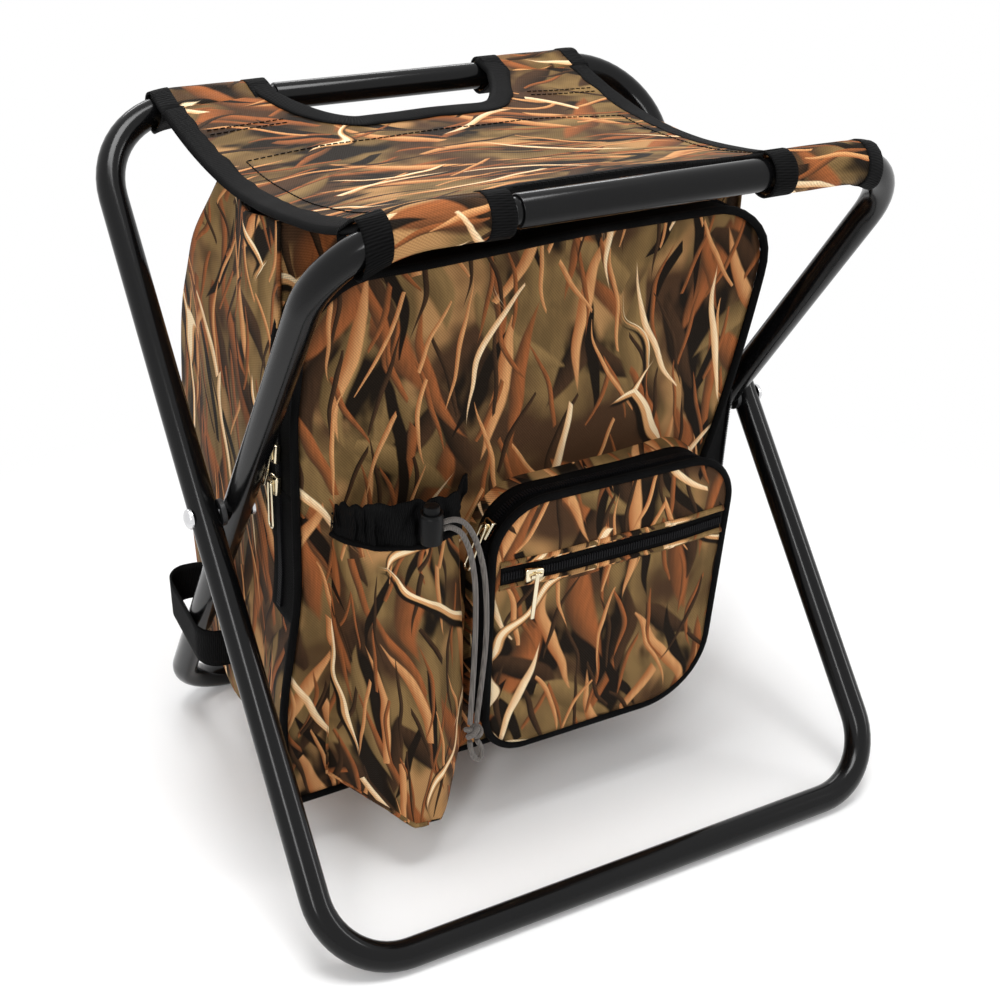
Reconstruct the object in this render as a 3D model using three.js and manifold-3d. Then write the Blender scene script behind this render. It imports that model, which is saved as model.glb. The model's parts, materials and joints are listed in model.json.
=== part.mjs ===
// A folding stool: two crossed tube loops, a sling seat, and an insulated bag hung beneath the seat.
// Millimetres, +Z up, +X to the right, -Y to the front.
// The origin is on the floor, midway between the two foot bars.

import * as THREE from 'three';
import { mergeVertices } from 'three/addons/utils/BufferGeometryUtils.js';
import Module from 'manifold-3d';

const wasm = await Module();
wasm.setup();

// Gaps between neighbours
const FIT = 0.3; // between pieces that touch
const PIVOT_FIT = 0.2; // around the pivot rivets and washers

// Tube loops
const TUBE_DIAMETER = 16;
const TUBE_WALL = 1.2;
const TUBE_SIDES = 12;
const STOOL_HEIGHT = 400; // floor to the top of the top bars
const TOP_BAR_SPREAD = 287.4; // between the axes of the two top bars
const FOOT_BAR_SPREAD = 307.8; // between the axes of the two foot bars
const OUTER_LOOP_WIDTH = 358; // between the leg axes of the outer loop
const TOP_BEND_RADIUS = 50;
const FOOT_BEND_RADIUS = 42;
const BEND_STEPS = 6;
const TUBE_JOINT_INSET = 7; // from the hand-hole's left end to the joint in the top bar
const TUBE_JOINT_GAP = 3;
const SWAGE_LENGTH = 18;
const SWAGE_WALL = 1.1;
const SWAGE_ROOT = 4;

// Pivots
const RIVET_DIAMETER = 6;
const RIVET_HEAD_DIAMETER = 11;
const RIVET_HEAD_HEIGHT = 3;
const RIVET_RIM_HEIGHT = 1;
const RIVET_SHOULDER_HEIGHT = 2.4;
const RIVET_SHOULDER_DIAMETER = 7.7;
const RIVET_CROWN_DIAMETER = 3.3;
const RIVET_TAIL_HEIGHT = 2.2;
const RIVET_TAIL_RIM = 1.1;
const RIVET_SIDES = 12;
const WASHER_THICKNESS = 1.2;
const WASHER_DIAMETER = 15;

// Sling seat
const SEAT_WIDTH = 272;
const SEAT_SHIFT = -5; // the cloth sits a little to the left along its bars
const SEAT_SAG = 22;
const SEAT_CLOTH = 2.2;
const SEAT_STEPS = 16;
const SEAT_COLUMNS = 12;
const SLEEVE_CLOTH = 1.4;
const SLEEVE_CLEARANCE = 0.4;
const SLEEVE_SIDES = 16;
const HAND_HOLE_WIDTH = 144;
const HAND_HOLE_TAPER = 14; // drawn in at each side towards the middle of the seat
const HAND_HOLE_CORNER = 20;
const BACK_HOLE_DEPTH = 62;
const FRONT_HOLE_DEPTH = 36;

// Insulated bag. Depth is measured back from the front panel and height up along it.
const BAG_WIDTH = 280;
const BAG_FRONT_Y = -35; // foot of the front panel
const BAG_BOTTOM_Z = 35;
const PANEL_HEIGHT = 309;
const PANEL_TOP_ADVANCE = 25; // how far the panel's top stands in front of its foot
const BAG_CLOTH = 2;
const BAG_FOAM = 5;
const BAG_LINER = 1;
const BAG_TOP_BACK_Y = 62; // where the back leaves the seat
const BAG_BACK_POINTS = [
  [ 84, 343 ], [ 107, 312 ], [ 125, 280 ], [ 138, 225 ], [ 149, 140 ], [ 142, 88 ], [ 114, 48 ],
];
const BAG_BOTTOM_BACK_Y = 78;
const BAG_BACK_STEPS = 18;
const BAG_TOP_STEPS = 6;
const SEAT_MEETING_PASSES = 20; // to find where a line up the bag meets the seat
const PARALLEL = 1e-6;

// Zipped lid in the front panel, and the zip round it
const LID_HINGE_HEIGHT = 193;
const LID_CORNER = 38;
const LID_DEPTH = 22;
const GUSSET_DEPTH = 34;
const MOUTH_LIP = 10;
const ZIP_TAPE = 1;
const LID_TAPE_WIDTH = 14;
const BAG_TAPE_WIDTH = 9;
const ZIP_END_HEIGHT = 117;
const PIPING_DIAMETER = 5;
const PIPING_SIDES = 8;
const PIPING_BREAK = 3; // lower piping stops this far below the lid's hinge
const CORNER_STEPS = 6; // flats in a quarter turn

// Zip sliders and pulls
const SLIDER_LENGTH = 12;
const SLIDER_WIDTH = 9;
const SLIDER_HEIGHT = 5;
const SLIDER_NOSE = 3;
const SLIDER_POST_DIAMETER = 2.6;
const PULL_LENGTH = 22;
const PULL_WIDTH = 5.6;
const PULL_THICKNESS = 1.4;
const PULL_EYE_CLEARANCE = 0.35;
const POST_SIDES = 8;
const LOWER_SLIDER_RISE = 2; // above the lid's hinge
const PULL_GAP = 3; // between the upper slider's pull and the lower slider's

// Front pocket
const POCKET_LEFT = -48;
const POCKET_RIGHT = 104;
const POCKET_FOOT = 24;
const POCKET_TOP = 183;
const POCKET_CORNER = 25;
const POCKET_CLOTH = 2;
const POCKET_GUSSET = 14;
const POCKET_ZIP_GUSSET = 19;
const FACE_ZIP_HEIGHT = 143;
const FACE_ZIP_WIDTH = 12;
const FACE_ZIP_MARGIN = 4;
const FACE_SLIDER_X = -27;
const CORNER_SLIDER_ANGLE = THREE.MathUtils.degToRad( 158 );

// Bottle pouch
const POUCH_CENTRE = -93;
const POUCH_CLOTH = 2;
const POUCH_STEPS = 14;
// Each level: half width, depth, height at the panel, height at the front
const POUCH_LEVELS = [
  [ 30, 40, 14, -8 ],
  [ 37, 50, 20, 2 ],
  [ 39, 51, 60, 52 ],
  [ 39, 48, 120, 122 ],
  [ 38, 44, 172, 180 ],
];
const COLLAR_CLOTH = 2.4;
const COLLAR_BACK_RISE = 18;
const COLLAR_FRONT_RISE = 24;
const COLLAR_DRAW = 4; // how far the drawn collar is smaller than the pouch

// Cord lock and drawcord. Cord points are x, distance out of the panel, height.
const LOCK_X = -94;
const LOCK_RISE = 13; // above the front of the pouch's rim
const LOCK_DIAMETER = 12;
const LOCK_LENGTH = 18;
const LOCK_WALL = 1.5;
const LOCK_FLOOR = 1.6;
const LOCK_SIDES = 16;
const LOCK_SLOT_HEIGHT = 7.6;
const LOCK_SLOT_WIDTH = 3.8;
const BUTTON_RISE = 4;
const BUTTON_TRAVEL = 2.5;
const BUTTON_CHAMFER = 1;
const SPRING_LENGTH = 2.6;
const SPRING_WALL = 1;
const CORD_DIAMETER = 3;
const CORD_SIDES = 8;
const CORD_STEPS = 30;
const CORD_A_POINTS = [
  [ -87.6, 50.6, 194.5 ], [ -82.4, 50.6, 194.6 ], [ -77.8, 50.6, 193.1 ], [ -74.1, 50.9, 189.8 ],
  [ -71.1, 51.2, 185.0 ], [ -68.4, 51.8, 178.7 ], [ -66.1, 52.4, 170.8 ], [ -64.2, 53.2, 161.3 ],
  [ -63.1, 54.1, 150.5 ], [ -62.6, 55.0, 138.4 ], [ -62.7, 56.1, 125.4 ], [ -63.6, 57.2, 112.1 ],
  [ -65.1, 58.2, 98.8 ], [ -66.8, 59.3, 85.8 ], [ -68.5, 60.3, 73.9 ], [ -69.1, 60.7, 69.0 ],
];
const CORD_B_POINTS = [
  [ -87.6, 50.6, 190.7 ], [ -83.4, 50.7, 190.5 ], [ -79.6, 51.0, 188.3 ], [ -76.4, 51.3, 184.8 ],
  [ -74.1, 51.7, 179.7 ], [ -72.0, 52.2, 173.3 ], [ -70.5, 52.8, 165.3 ], [ -69.4, 53.6, 156.0 ],
  [ -69.0, 54.5, 145.3 ], [ -69.1, 55.4, 133.7 ], [ -69.5, 56.4, 121.2 ], [ -70.2, 57.5, 108.4 ],
  [ -71.1, 58.5, 95.6 ], [ -72.0, 59.5, 83.3 ], [ -72.8, 60.3, 73.4 ], [ -73.2, 60.7, 69.0 ],
];
const KNOT_RADIUS = 5.4;
const KNOT_SIDES = 12;
const KNOT_RINGS = 8;
const KNOT_CENTRE = [ -71.2, 61.1, 63.3 ];
const END_LOOP_POINTS = [
  [ -73.3, 61.6, 57.7 ], [ -73.1, 61.9, 54.3 ], [ -72.2, 62.2, 50.1 ], [ -70.5, 62.5, 46.3 ],
  [ -68.2, 62.7, 44.4 ], [ -66.2, 62.5, 45.9 ], [ -66.0, 62.3, 49.2 ], [ -67.1, 62.0, 53.1 ],
  [ -68.5, 61.7, 56.3 ], [ -69.1, 61.5, 57.7 ],
];

// Webbing loops that tie the bag to the inner loop's rear legs
const WEBBING_THICKNESS = 1.3;
const WEBBING_WIDTH = 24;
const WEBBING_CENTRE_Z = 95;
const WEBBING_FRONT_Y = 56;
const WEBBING_BACK_Y = 124;

// Sizes worked out from the driving dimensions
const TUBE_RADIUS = TUBE_DIAMETER / 2;
const TUBE_CORNER = TUBE_RADIUS / Math.cos( Math.PI / TUBE_SIDES );
const BORE_RADIUS = TUBE_RADIUS - TUBE_WALL;
const TOP_Y = TOP_BAR_SPREAD / 2;
const FOOT_Y = FOOT_BAR_SPREAD / 2;
const TOP_Z = STOOL_HEIGHT - TUBE_RADIUS;
const FOOT_Z = TUBE_RADIUS;
const LEAN = Math.atan2( TOP_Y + FOOT_Y, TOP_Z - FOOT_Z );
const PIVOT_Z = FOOT_Z + ( TOP_Z - FOOT_Z ) * FOOT_Y / ( TOP_Y + FOOT_Y );
const TOP_ARM = ( TOP_Z - PIVOT_Z ) / Math.cos( LEAN );
const FOOT_ARM = ( PIVOT_Z - FOOT_Z ) / Math.cos( LEAN );
const OUTER_LEG_X = OUTER_LOOP_WIDTH / 2;
const INNER_LEG_X = OUTER_LEG_X - 2 * TUBE_CORNER - WASHER_THICKNESS - 2 * PIVOT_FIT;
const HOLE_END_X = HAND_HOLE_WIDTH / 2;
const TUBE_JOINT_X = SEAT_SHIFT - HOLE_END_X + TUBE_JOINT_INSET;
const SLEEVE_BORE = TUBE_CORNER + SLEEVE_CLEARANCE;
const SLEEVE_RADIUS = SLEEVE_BORE + SLEEVE_CLOTH;
const PANEL_LEAN = Math.asin( PANEL_TOP_ADVANCE / PANEL_HEIGHT );
const BAG_X = BAG_WIDTH / 2;
const PIPING_RADIUS = PIPING_DIAMETER / 2;
const ARC_DIVISIONS = CORNER_STEPS / 2; // an arc is drawn with twice as many flats as divisions
const LID_FOOT = LID_HINGE_HEIGHT + FIT;
const LOWER_SLIDER_HEIGHT = LID_HINGE_HEIGHT + LOWER_SLIDER_RISE;
const UPPER_SLIDER_HEIGHT = LOWER_SLIDER_HEIGHT + PULL_LENGTH + PULL_GAP;
const POCKET_GUSSET_FRONT = FIT + POCKET_GUSSET;
const POCKET_ZIP_FRONT = POCKET_GUSSET_FRONT + FIT + POCKET_ZIP_GUSSET;
const POCKET_FACE_BACK = POCKET_ZIP_FRONT + FIT;
const POCKET_FACE_FRONT = POCKET_FACE_BACK + PIPING_DIAMETER; // padded as thick as its piping

// Finishes
function finish( color, roughness, metalness ) {

  return new THREE.MeshStandardMaterial( { color, roughness, metalness } );

}

const BLACK_TUBE = finish( 0x0d0d0e, 0.28, 0.2 );
const STEEL = finish( 0xb9babd, 0.35, 1 );
const NYLON = finish( 0x17171a, 0.5, 0 );
const CAMOUFLAGE = finish( 0x6b4a2a, 0.85, 0 );
const BLACK_CLOTH = finish( 0x111112, 0.8, 0 );
const FOAM = finish( 0xd9d8d2, 0.9, 0 );
const FOIL = finish( 0xb4b7ba, 0.35, 0.6 );
const ZIP_METAL = finish( 0xcbb98a, 0.3, 1 );
const CORD = finish( 0x6d655b, 0.8, 0 );
const BLACK_PLASTIC = finish( 0x101012, 0.45, 0 );

// A path of straight runs joined by round bends, with stations only where it turns.
class BentPath extends THREE.Curve {

  constructor( corners, radii, bendSteps ) {

    super();
    this.places = [];
    this.headings = [];
    const last = corners.length - 1;
    const direction = ( from, to ) => to.clone().sub( from ).normalize();
    this.addStation( corners[ 0 ], direction( corners[ 0 ], corners[ 1 ] ) );
    for ( let i = 1; i < last; i ++ ) {

      const arriving = direction( corners[ i - 1 ], corners[ i ] );
      const leaving = direction( corners[ i ], corners[ i + 1 ] );
      this.addBend( corners[ i ], arriving, leaving, radii[ i - 1 ], bendSteps );

    }

    this.addStation( corners[ last ], direction( corners[ last - 1 ], corners[ last ] ) );

  }

  addStation( place, heading ) {

    this.places.push( place.clone() );
    this.headings.push( heading.clone() );

  }

  addBend( corner, arriving, leaving, radius, bendSteps ) {

    const turn = arriving.angleTo( leaving );
    const start = corner.clone().addScaledVector( arriving, - radius * Math.tan( turn / 2 ) );
    const inward = leaving.clone().addScaledVector( arriving, - leaving.dot( arriving ) ).normalize();
    const centre = start.clone().addScaledVector( inward, radius );
    for ( let step = 0; step <= bendSteps; step ++ ) {

      const angle = turn * step / bendSteps;
      const place = centre.clone()
        .addScaledVector( inward, - radius * Math.cos( angle ) )
        .addScaledVector( arriving, radius * Math.sin( angle ) );
      const heading = arriving.clone()
        .multiplyScalar( Math.cos( angle ) )
        .addScaledVector( inward, Math.sin( angle ) );
      this.addStation( place, heading );

    }

  }

  getSpacedPoints() {

    return this.places;

  }

  getTangentAt( u, target = new THREE.Vector3() ) {

    return target.copy( this.headings[ Math.round( u * ( this.headings.length - 1 ) ) ] );

  }

}

const point2 = ( x, y ) => new THREE.Vector2( x, y );
const point3 = ( x, y, z ) => new THREE.Vector3( x, y, z );

// A regular polygon whose flats touch a circle of that radius, with one flat facing along an angle.
function polygonPoints( radius, sides, facing = 0 ) {

  const corner = radius / Math.cos( Math.PI / sides );
  const pitch = 2 * Math.PI / sides;
  return Array.from( { length: sides }, ( unused, i ) => {

    const angle = facing + ( i + 0.5 ) * pitch;
    return point2( corner * Math.cos( angle ), corner * Math.sin( angle ) );

  } );

}

function polygonShape( radius, sides, facing, boreRadius ) {

  const shape = new THREE.Shape( polygonPoints( radius, sides, facing ) );
  if ( boreRadius ) shape.holes.push( new THREE.Path( polygonPoints( boreRadius, sides, facing ) ) );
  return shape;

}

function sweep( shape, path, steps ) {

  return new THREE.ExtrudeGeometry( shape, { extrudePath: path, steps } );

}

function sweepBent( shape, path ) {

  return sweep( shape, path, path.places.length - 1 );

}

// Extrudes a shape drawn in (Y, Z) along X.
function extrudeAlongX( shape, fromX, toX, steps = 1 ) {

  const geometry = new THREE.ExtrudeGeometry( shape, { ...extrusion( toX - fromX ), steps } );
  const turn = new THREE.Matrix4().makeBasis( point3( 0, 1, 0 ), point3( 0, 0, 1 ), point3( 1, 0, 0 ) );
  return geometry.applyMatrix4( turn ).translate( fromX, 0, 0 );

}

// Extrudes a shape drawn in (X, Z) along Y.
function extrudeAlongY( shape, fromY, toY ) {

  const geometry = new THREE.ExtrudeGeometry( shape, extrusion( toY - fromY ) );
  return geometry.rotateX( Math.PI / 2 ).translate( 0, toY, 0 );

}

// Extrudes a shape drawn in (X, Y) along Z.
function extrudeAlongZ( shape, fromZ, toZ ) {

  return new THREE.ExtrudeGeometry( shape, extrusion( toZ - fromZ ) ).translate( 0, 0, fromZ );

}

function extrusion( depth ) {

  return { depth, bevelEnabled: false, curveSegments: ARC_DIVISIONS };

}

// Turns a profile of [radius, height] pairs about Z.
function turned( profile, sides ) {

  const spread = 1 / Math.cos( Math.PI / sides );
  const corners = profile.map( ( [ radius, height ] ) => point2( radius * spread, height ) );
  return new THREE.LatheGeometry( corners, sides ).rotateX( Math.PI / 2 );

}

function toSolid( geometry ) {

  const bare = geometry.clone();
  bare.deleteAttribute( 'normal' );
  bare.deleteAttribute( 'uv' );
  const merged = mergeVertices( bare );
  const vertProperties = merged.getAttribute( 'position' ).array;
  const triVerts = Uint32Array.from( merged.getIndex().array );
  return new wasm.Manifold( new wasm.Mesh( { numProp: 3, vertProperties, triVerts } ) );

}

function toGeometry( solid ) {

  const { vertProperties, triVerts } = solid.getMesh();
  const geometry = new THREE.BufferGeometry();
  geometry.setAttribute( 'position', new THREE.BufferAttribute( vertProperties, 3 ) );
  geometry.setIndex( new THREE.BufferAttribute( triVerts, 1 ) );
  geometry.computeVertexNormals();
  return geometry;

}

function cut( body, ...tools ) {

  return toGeometry( tools.reduce( ( left, tool ) => left.subtract( toSolid( tool ) ), toSolid( body ) ) );

}

function join( body, ...others ) {

  return toGeometry( others.reduce( ( sum, other ) => sum.add( toSolid( other ) ), toSolid( body ) ) );

}

function addPiece( group, name, geometry, material ) {

  const mesh = new THREE.Mesh( geometry, material.clone() );
  mesh.name = name;
  group.add( mesh );
  return mesh;

}

// A closed skin through rings of points, all with as many points, from the first ring to the last.
function loft( rings ) {

  const count = rings[ 0 ].length;
  const points = rings.flat();
  const index = [];
  for ( let r = 0; r < rings.length - 1; r ++ ) {

    for ( let i = 0; i < count; i ++ ) {

      const a = r * count + i;
      const b = r * count + ( i + 1 ) % count;
      index.push( a, b, b + count, a, b + count, a + count );

    }

  }

  const top = ( rings.length - 1 ) * count;
  for ( let i = 1; i < count - 1; i ++ ) {

    index.push( 0, i + 1, i );
    index.push( top, top + i, top + i + 1 );

  }

  const geometry = new THREE.BufferGeometry().setFromPoints( points );
  geometry.setIndex( index );
  geometry.computeVertexNormals();
  return geometry;

}

// A straight run along a top bar, in its loop's own plane
function barRun( fromX, toX ) {

  return new BentPath( [ point3( fromX, 0, TOP_ARM ), point3( toX, 0, TOP_ARM ) ], [], 1 );

}

// Tube loops
function loopTube( legX, facing ) {

  const path = new BentPath( [
    point3( TUBE_JOINT_X, 0, TOP_ARM ),
    point3( legX, 0, TOP_ARM ),
    point3( legX, 0, - FOOT_ARM ),
    point3( - legX, 0, - FOOT_ARM ),
    point3( - legX, 0, TOP_ARM ),
    point3( TUBE_JOINT_X - TUBE_JOINT_GAP, 0, TOP_ARM ),
  ], [ TOP_BEND_RADIUS, FOOT_BEND_RADIUS, FOOT_BEND_RADIUS, TOP_BEND_RADIUS ], BEND_STEPS );
  const tube = sweepBent( polygonShape( TUBE_RADIUS, TUBE_SIDES, facing, BORE_RADIUS ), path );

  // One end is drawn down to slide into the other.
  const swageRadius = BORE_RADIUS - FIT;
  const swageBore = swageRadius - SWAGE_WALL;
  const swageEnd = TUBE_JOINT_X - TUBE_JOINT_GAP - SWAGE_LENGTH;
  const swage = sweepBent(
    polygonShape( swageRadius, TUBE_SIDES, facing, swageBore ),
    barRun( swageEnd, TUBE_JOINT_X + SWAGE_ROOT ),
  );
  const root = sweepBent(
    polygonShape( BORE_RADIUS + TUBE_WALL / 2, TUBE_SIDES, facing, swageBore ),
    barRun( TUBE_JOINT_X + FIT, TUBE_JOINT_X + SWAGE_ROOT ),
  );
  const bore = RIVET_DIAMETER / 2 + PIVOT_FIT;
  const reach = legX + TUBE_DIAMETER;
  const rod = turned( [ [ 0, - reach ], [ bore, - reach ], [ bore, reach ], [ 0, reach ] ], RIVET_SIDES );
  return cut( join( tube, root, swage ), rod.rotateY( Math.PI / 2 ) );

}

function addPivot( group, side, suffix ) {

  const shank = RIVET_DIAMETER / 2;
  const head = RIVET_HEAD_DIAMETER / 2;
  const shoulder = RIVET_SHOULDER_DIAMETER / 2;
  const inside = INNER_LEG_X - TUBE_CORNER - PIVOT_FIT;
  const outside = OUTER_LEG_X + TUBE_CORNER + PIVOT_FIT;
  const rivet = turned( [
    [ 0, inside - RIVET_TAIL_HEIGHT ],
    [ shoulder, inside - RIVET_TAIL_HEIGHT ],
    [ head, inside - RIVET_TAIL_RIM ],
    [ head, inside ],
    [ shank, inside ],
    [ shank, outside ],
    [ head, outside ],
    [ head, outside + RIVET_RIM_HEIGHT ],
    [ shoulder, outside + RIVET_SHOULDER_HEIGHT ],
    [ RIVET_CROWN_DIAMETER / 2, outside + RIVET_HEAD_HEIGHT ],
    [ 0, outside + RIVET_HEAD_HEIGHT ],
  ], RIVET_SIDES );
  addPiece( group, `pivot_rivet_${ suffix }`, rivet.rotateY( side * Math.PI / 2 ), STEEL );

  const washerBack = INNER_LEG_X + TUBE_CORNER + PIVOT_FIT;
  const washerBore = shank + PIVOT_FIT;
  const washer = turned( [
    [ washerBore, washerBack ],
    [ WASHER_DIAMETER / 2, washerBack ],
    [ WASHER_DIAMETER / 2, washerBack + WASHER_THICKNESS ],
    [ washerBore, washerBack + WASHER_THICKNESS ],
    [ washerBore, washerBack ],
  ], RIVET_SIDES );
  addPiece( group, `pivot_washer_${ suffix }`, washer.rotateY( side * Math.PI / 2 ), NYLON );

}

function loopGroup( lean ) {

  const group = new THREE.Group();
  group.position.set( 0, 0, PIVOT_Z );
  group.rotation.x = lean;
  return group;

}

// Sling seat
const seatTop = ( y ) => TOP_Z + SLEEVE_RADIUS - SEAT_SAG * ( 1 - ( y / TOP_Y ) ** 2 );

// How far a top bar has turned down, along its loop, where it passes x.
function barDrop( legX, x ) {

  const past = Math.abs( x ) - ( legX - TOP_BEND_RADIUS );
  return past > 0 ? TOP_BEND_RADIUS - Math.sqrt( TOP_BEND_RADIUS ** 2 - past ** 2 ) : 0;

}

// How far the cloth follows its bars down, fading out towards the middle of the seat.
function seatDrop( x, y ) {

  return barDrop( y < 0 ? INNER_LEG_X : OUTER_LEG_X, x ) * ( y / TOP_Y ) ** 2;

}

// The lowest the seat comes over the bag at that y, which is above the bag's sides.
const seatUnderside = ( y ) => seatTop( y ) - SEAT_CLOTH - seatDrop( BAG_X, y ) * Math.cos( LEAN );

function seatSheet( fromX, toX ) {

  const upper = [];
  for ( let i = 0; i <= SEAT_STEPS; i ++ ) {

    const y = TOP_Y * ( 2 * i / SEAT_STEPS - 1 );
    upper.push( point2( y, seatTop( y ) ) );

  }

  const lower = upper.map( ( p ) => point2( p.x, p.y - SEAT_CLOTH ) );
  const section = new THREE.Shape( [ ...upper, ...lower.reverse() ] );
  const sheet = extrudeAlongX( section, fromX, toX, SEAT_COLUMNS );
  const places = sheet.getAttribute( 'position' );
  for ( let i = 0; i < places.count; i ++ ) {

    const y = places.getY( i );
    const drop = seatDrop( places.getX( i ), y );
    places.setY( i, y - Math.sign( y ) * drop * Math.sin( LEAN ) );
    places.setZ( i, places.getZ( i ) - drop * Math.cos( LEAN ) );

  }

  return sheet;

}

function handHole( barY, inward, depth ) {

  const rimX = HOLE_END_X - HAND_HOLE_TAPER;
  const rimY = barY + inward * depth;
  const outline = new THREE.Shape();
  outline.moveTo( - HOLE_END_X, barY - inward * TUBE_DIAMETER );
  outline.lineTo( - HOLE_END_X, barY + inward * TUBE_DIAMETER );
  outline.quadraticCurveTo( - rimX, rimY, HAND_HOLE_CORNER - rimX, rimY );
  outline.lineTo( rimX - HAND_HOLE_CORNER, rimY );
  outline.quadraticCurveTo( rimX, rimY, HOLE_END_X, barY + inward * TUBE_DIAMETER );
  outline.lineTo( HOLE_END_X, barY - inward * TUBE_DIAMETER );
  const hole = new THREE.Shape( outline.getPoints( CORNER_STEPS ) );
  const solid = extrudeAlongZ( hole, TOP_Z - SEAT_SAG - TUBE_DIAMETER, STOOL_HEIGHT + TUBE_DIAMETER );
  return solid.translate( SEAT_SHIFT, 0, 0 );

}

// The line of a top bar from x to x, both on one side, following the bend if it reaches that far.
function barPath( legX, fromX, toX ) {

  const side = Math.sign( toX );
  const heading = point3( side, 0, 0 );
  const down = point3( 0, 0, - 1 );
  const bendX = legX - TOP_BEND_RADIUS;
  const reach = Math.abs( toX );
  const path = barRun( fromX, side * Math.min( reach, bendX ) );
  if ( reach > bendX ) {

    const turn = Math.asin( ( reach - bendX ) / TOP_BEND_RADIUS );
    const pitch = Math.PI / 2 / BEND_STEPS;
    const centre = point3( side * bendX, 0, TOP_ARM - TOP_BEND_RADIUS );
    const stops = Math.ceil( turn / pitch );
    for ( let stop = 1; stop <= stops; stop ++ ) {

      const angle = Math.min( stop * pitch, turn );
      path.addStation(
        centre.clone()
          .addScaledVector( heading, TOP_BEND_RADIUS * Math.sin( angle ) )
          .addScaledVector( down, - TOP_BEND_RADIUS * Math.cos( angle ) ),
        heading.clone().multiplyScalar( Math.cos( angle ) ).addScaledVector( down, Math.sin( angle ) ),
      );

    }

  }

  return path;

}

function addSeat( stool, inner, outer ) {

  const leftX = SEAT_SHIFT - SEAT_WIDTH / 2;
  const rightX = SEAT_SHIFT + SEAT_WIDTH / 2;
  const tools = [ handHole( TOP_Y, - 1, BACK_HOLE_DEPTH ), handHole( - TOP_Y, 1, FRONT_HOLE_DEPTH ) ];
  const ring = polygonShape( SLEEVE_RADIUS, SLEEVE_SIDES, 0, SLEEVE_BORE );
  const space = polygonShape( SLEEVE_RADIUS + FIT, SLEEVE_SIDES );
  const bars = [ [ 'front', inner, INNER_LEG_X ], [ 'back', outer, OUTER_LEG_X ] ];
  const runs = [ [ 'left', SEAT_SHIFT - HOLE_END_X, leftX ], [ 'right', SEAT_SHIFT + HOLE_END_X, rightX ] ];
  for ( const [ bar, group, legX ] of bars ) {

    group.updateMatrix();
    for ( const [ side, fromX, toX ] of runs ) {

      const sleeve = sweepBent( ring, barPath( legX, fromX, toX ) );
      addPiece( group, `seat_sleeve_${ bar }_${ side }`, sleeve, CAMOUFLAGE );
      const beyond = toX + Math.sign( toX ) * TUBE_DIAMETER;
      tools.push( sweepBent( space, barPath( legX, SEAT_SHIFT, beyond ) ).applyMatrix4( group.matrix ) );

    }

  }

  addPiece( stool, 'seat_panel', cut( seatSheet( leftX, rightX ), ...tools ), CAMOUFLAGE );

}

// Insulated bag, drawn in (Y, Z)
function bagPoint( depth, height ) {

  const y = BAG_FRONT_Y + depth * Math.cos( PANEL_LEAN ) - height * Math.sin( PANEL_LEAN );
  const z = BAG_BOTTOM_Z + depth * Math.sin( PANEL_LEAN ) + height * Math.cos( PANEL_LEAN );
  return point2( y, z );

}

// Height along the panel at which a line at that depth comes up to the seat's underside.
function heightUnderSeat( depth ) {

  let height = PANEL_HEIGHT;
  for ( let pass = 0; pass < SEAT_MEETING_PASSES; pass ++ ) {

    const place = bagPoint( depth, height );
    height += ( seatUnderside( place.x ) - FIT - place.y ) / Math.cos( PANEL_LEAN );

  }

  return height;

}

function seatLine( fromY, toY ) {

  return Array.from( { length: BAG_TOP_STEPS + 1 }, ( unused, i ) => {

    const y = fromY + ( toY - fromY ) * i / BAG_TOP_STEPS;
    return point2( y, seatUnderside( y ) - FIT );

  } );

}

const bagBackTop = point2( BAG_TOP_BACK_Y, seatUnderside( BAG_TOP_BACK_Y ) - FIT );
const bagBackFoot = point2( BAG_BOTTOM_BACK_Y, BAG_BOTTOM_Z );
const bagBackLine = new THREE.SplineCurve( [
  bagBackTop,
  ...BAG_BACK_POINTS.map( ( [ y, z ] ) => point2( y, z ) ),
  bagBackFoot,
] ).getSpacedPoints( BAG_BACK_STEPS );

// The side's outline, clockwise: up the front, back under the seat, and down the back to the foot.
function bagOutline() {

  const lowerFront = BAG_CLOTH + FIT;
  const upperFront = GUSSET_DEPTH + FIT;
  const frontTop = bagPoint( upperFront, heightUnderSeat( upperFront ) );
  const frontLine = [
    bagPoint( lowerFront, 0 ),
    bagPoint( lowerFront, LID_HINGE_HEIGHT ),
    bagPoint( upperFront, LID_HINGE_HEIGHT ),
  ];
  const topLine = seatLine( frontTop.x, BAG_TOP_BACK_Y );
  const outline = [ ...frontLine, ...topLine, ...bagBackLine.slice( 1 ) ];
  const topFront = frontLine.length;
  return { outline, topFront, topBack: topFront + BAG_TOP_STEPS, backFoot: outline.length - 1 };

}

// Moves every edge of a clockwise outline inwards.
function inset( outline, distance ) {

  const count = outline.length;
  const edges = outline.map( ( from, i ) => {

    const along = outline[ ( i + 1 ) % count ].clone().sub( from ).normalize();
    const inward = point2( along.y, - along.x );
    return { from: from.clone().addScaledVector( inward, distance ), along };

  } );
  return edges.map( ( edge, i ) => {

    const before = edges[ ( i + count - 1 ) % count ];
    const cross = before.along.x * edge.along.y - before.along.y * edge.along.x;
    if ( Math.abs( cross ) < PARALLEL ) return edge.from;
    const gap = edge.from.clone().sub( before.from );
    const travel = ( gap.x * edge.along.y - gap.y * edge.along.x ) / cross;
    return before.from.clone().addScaledVector( before.along, travel );

  } );

}

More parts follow.
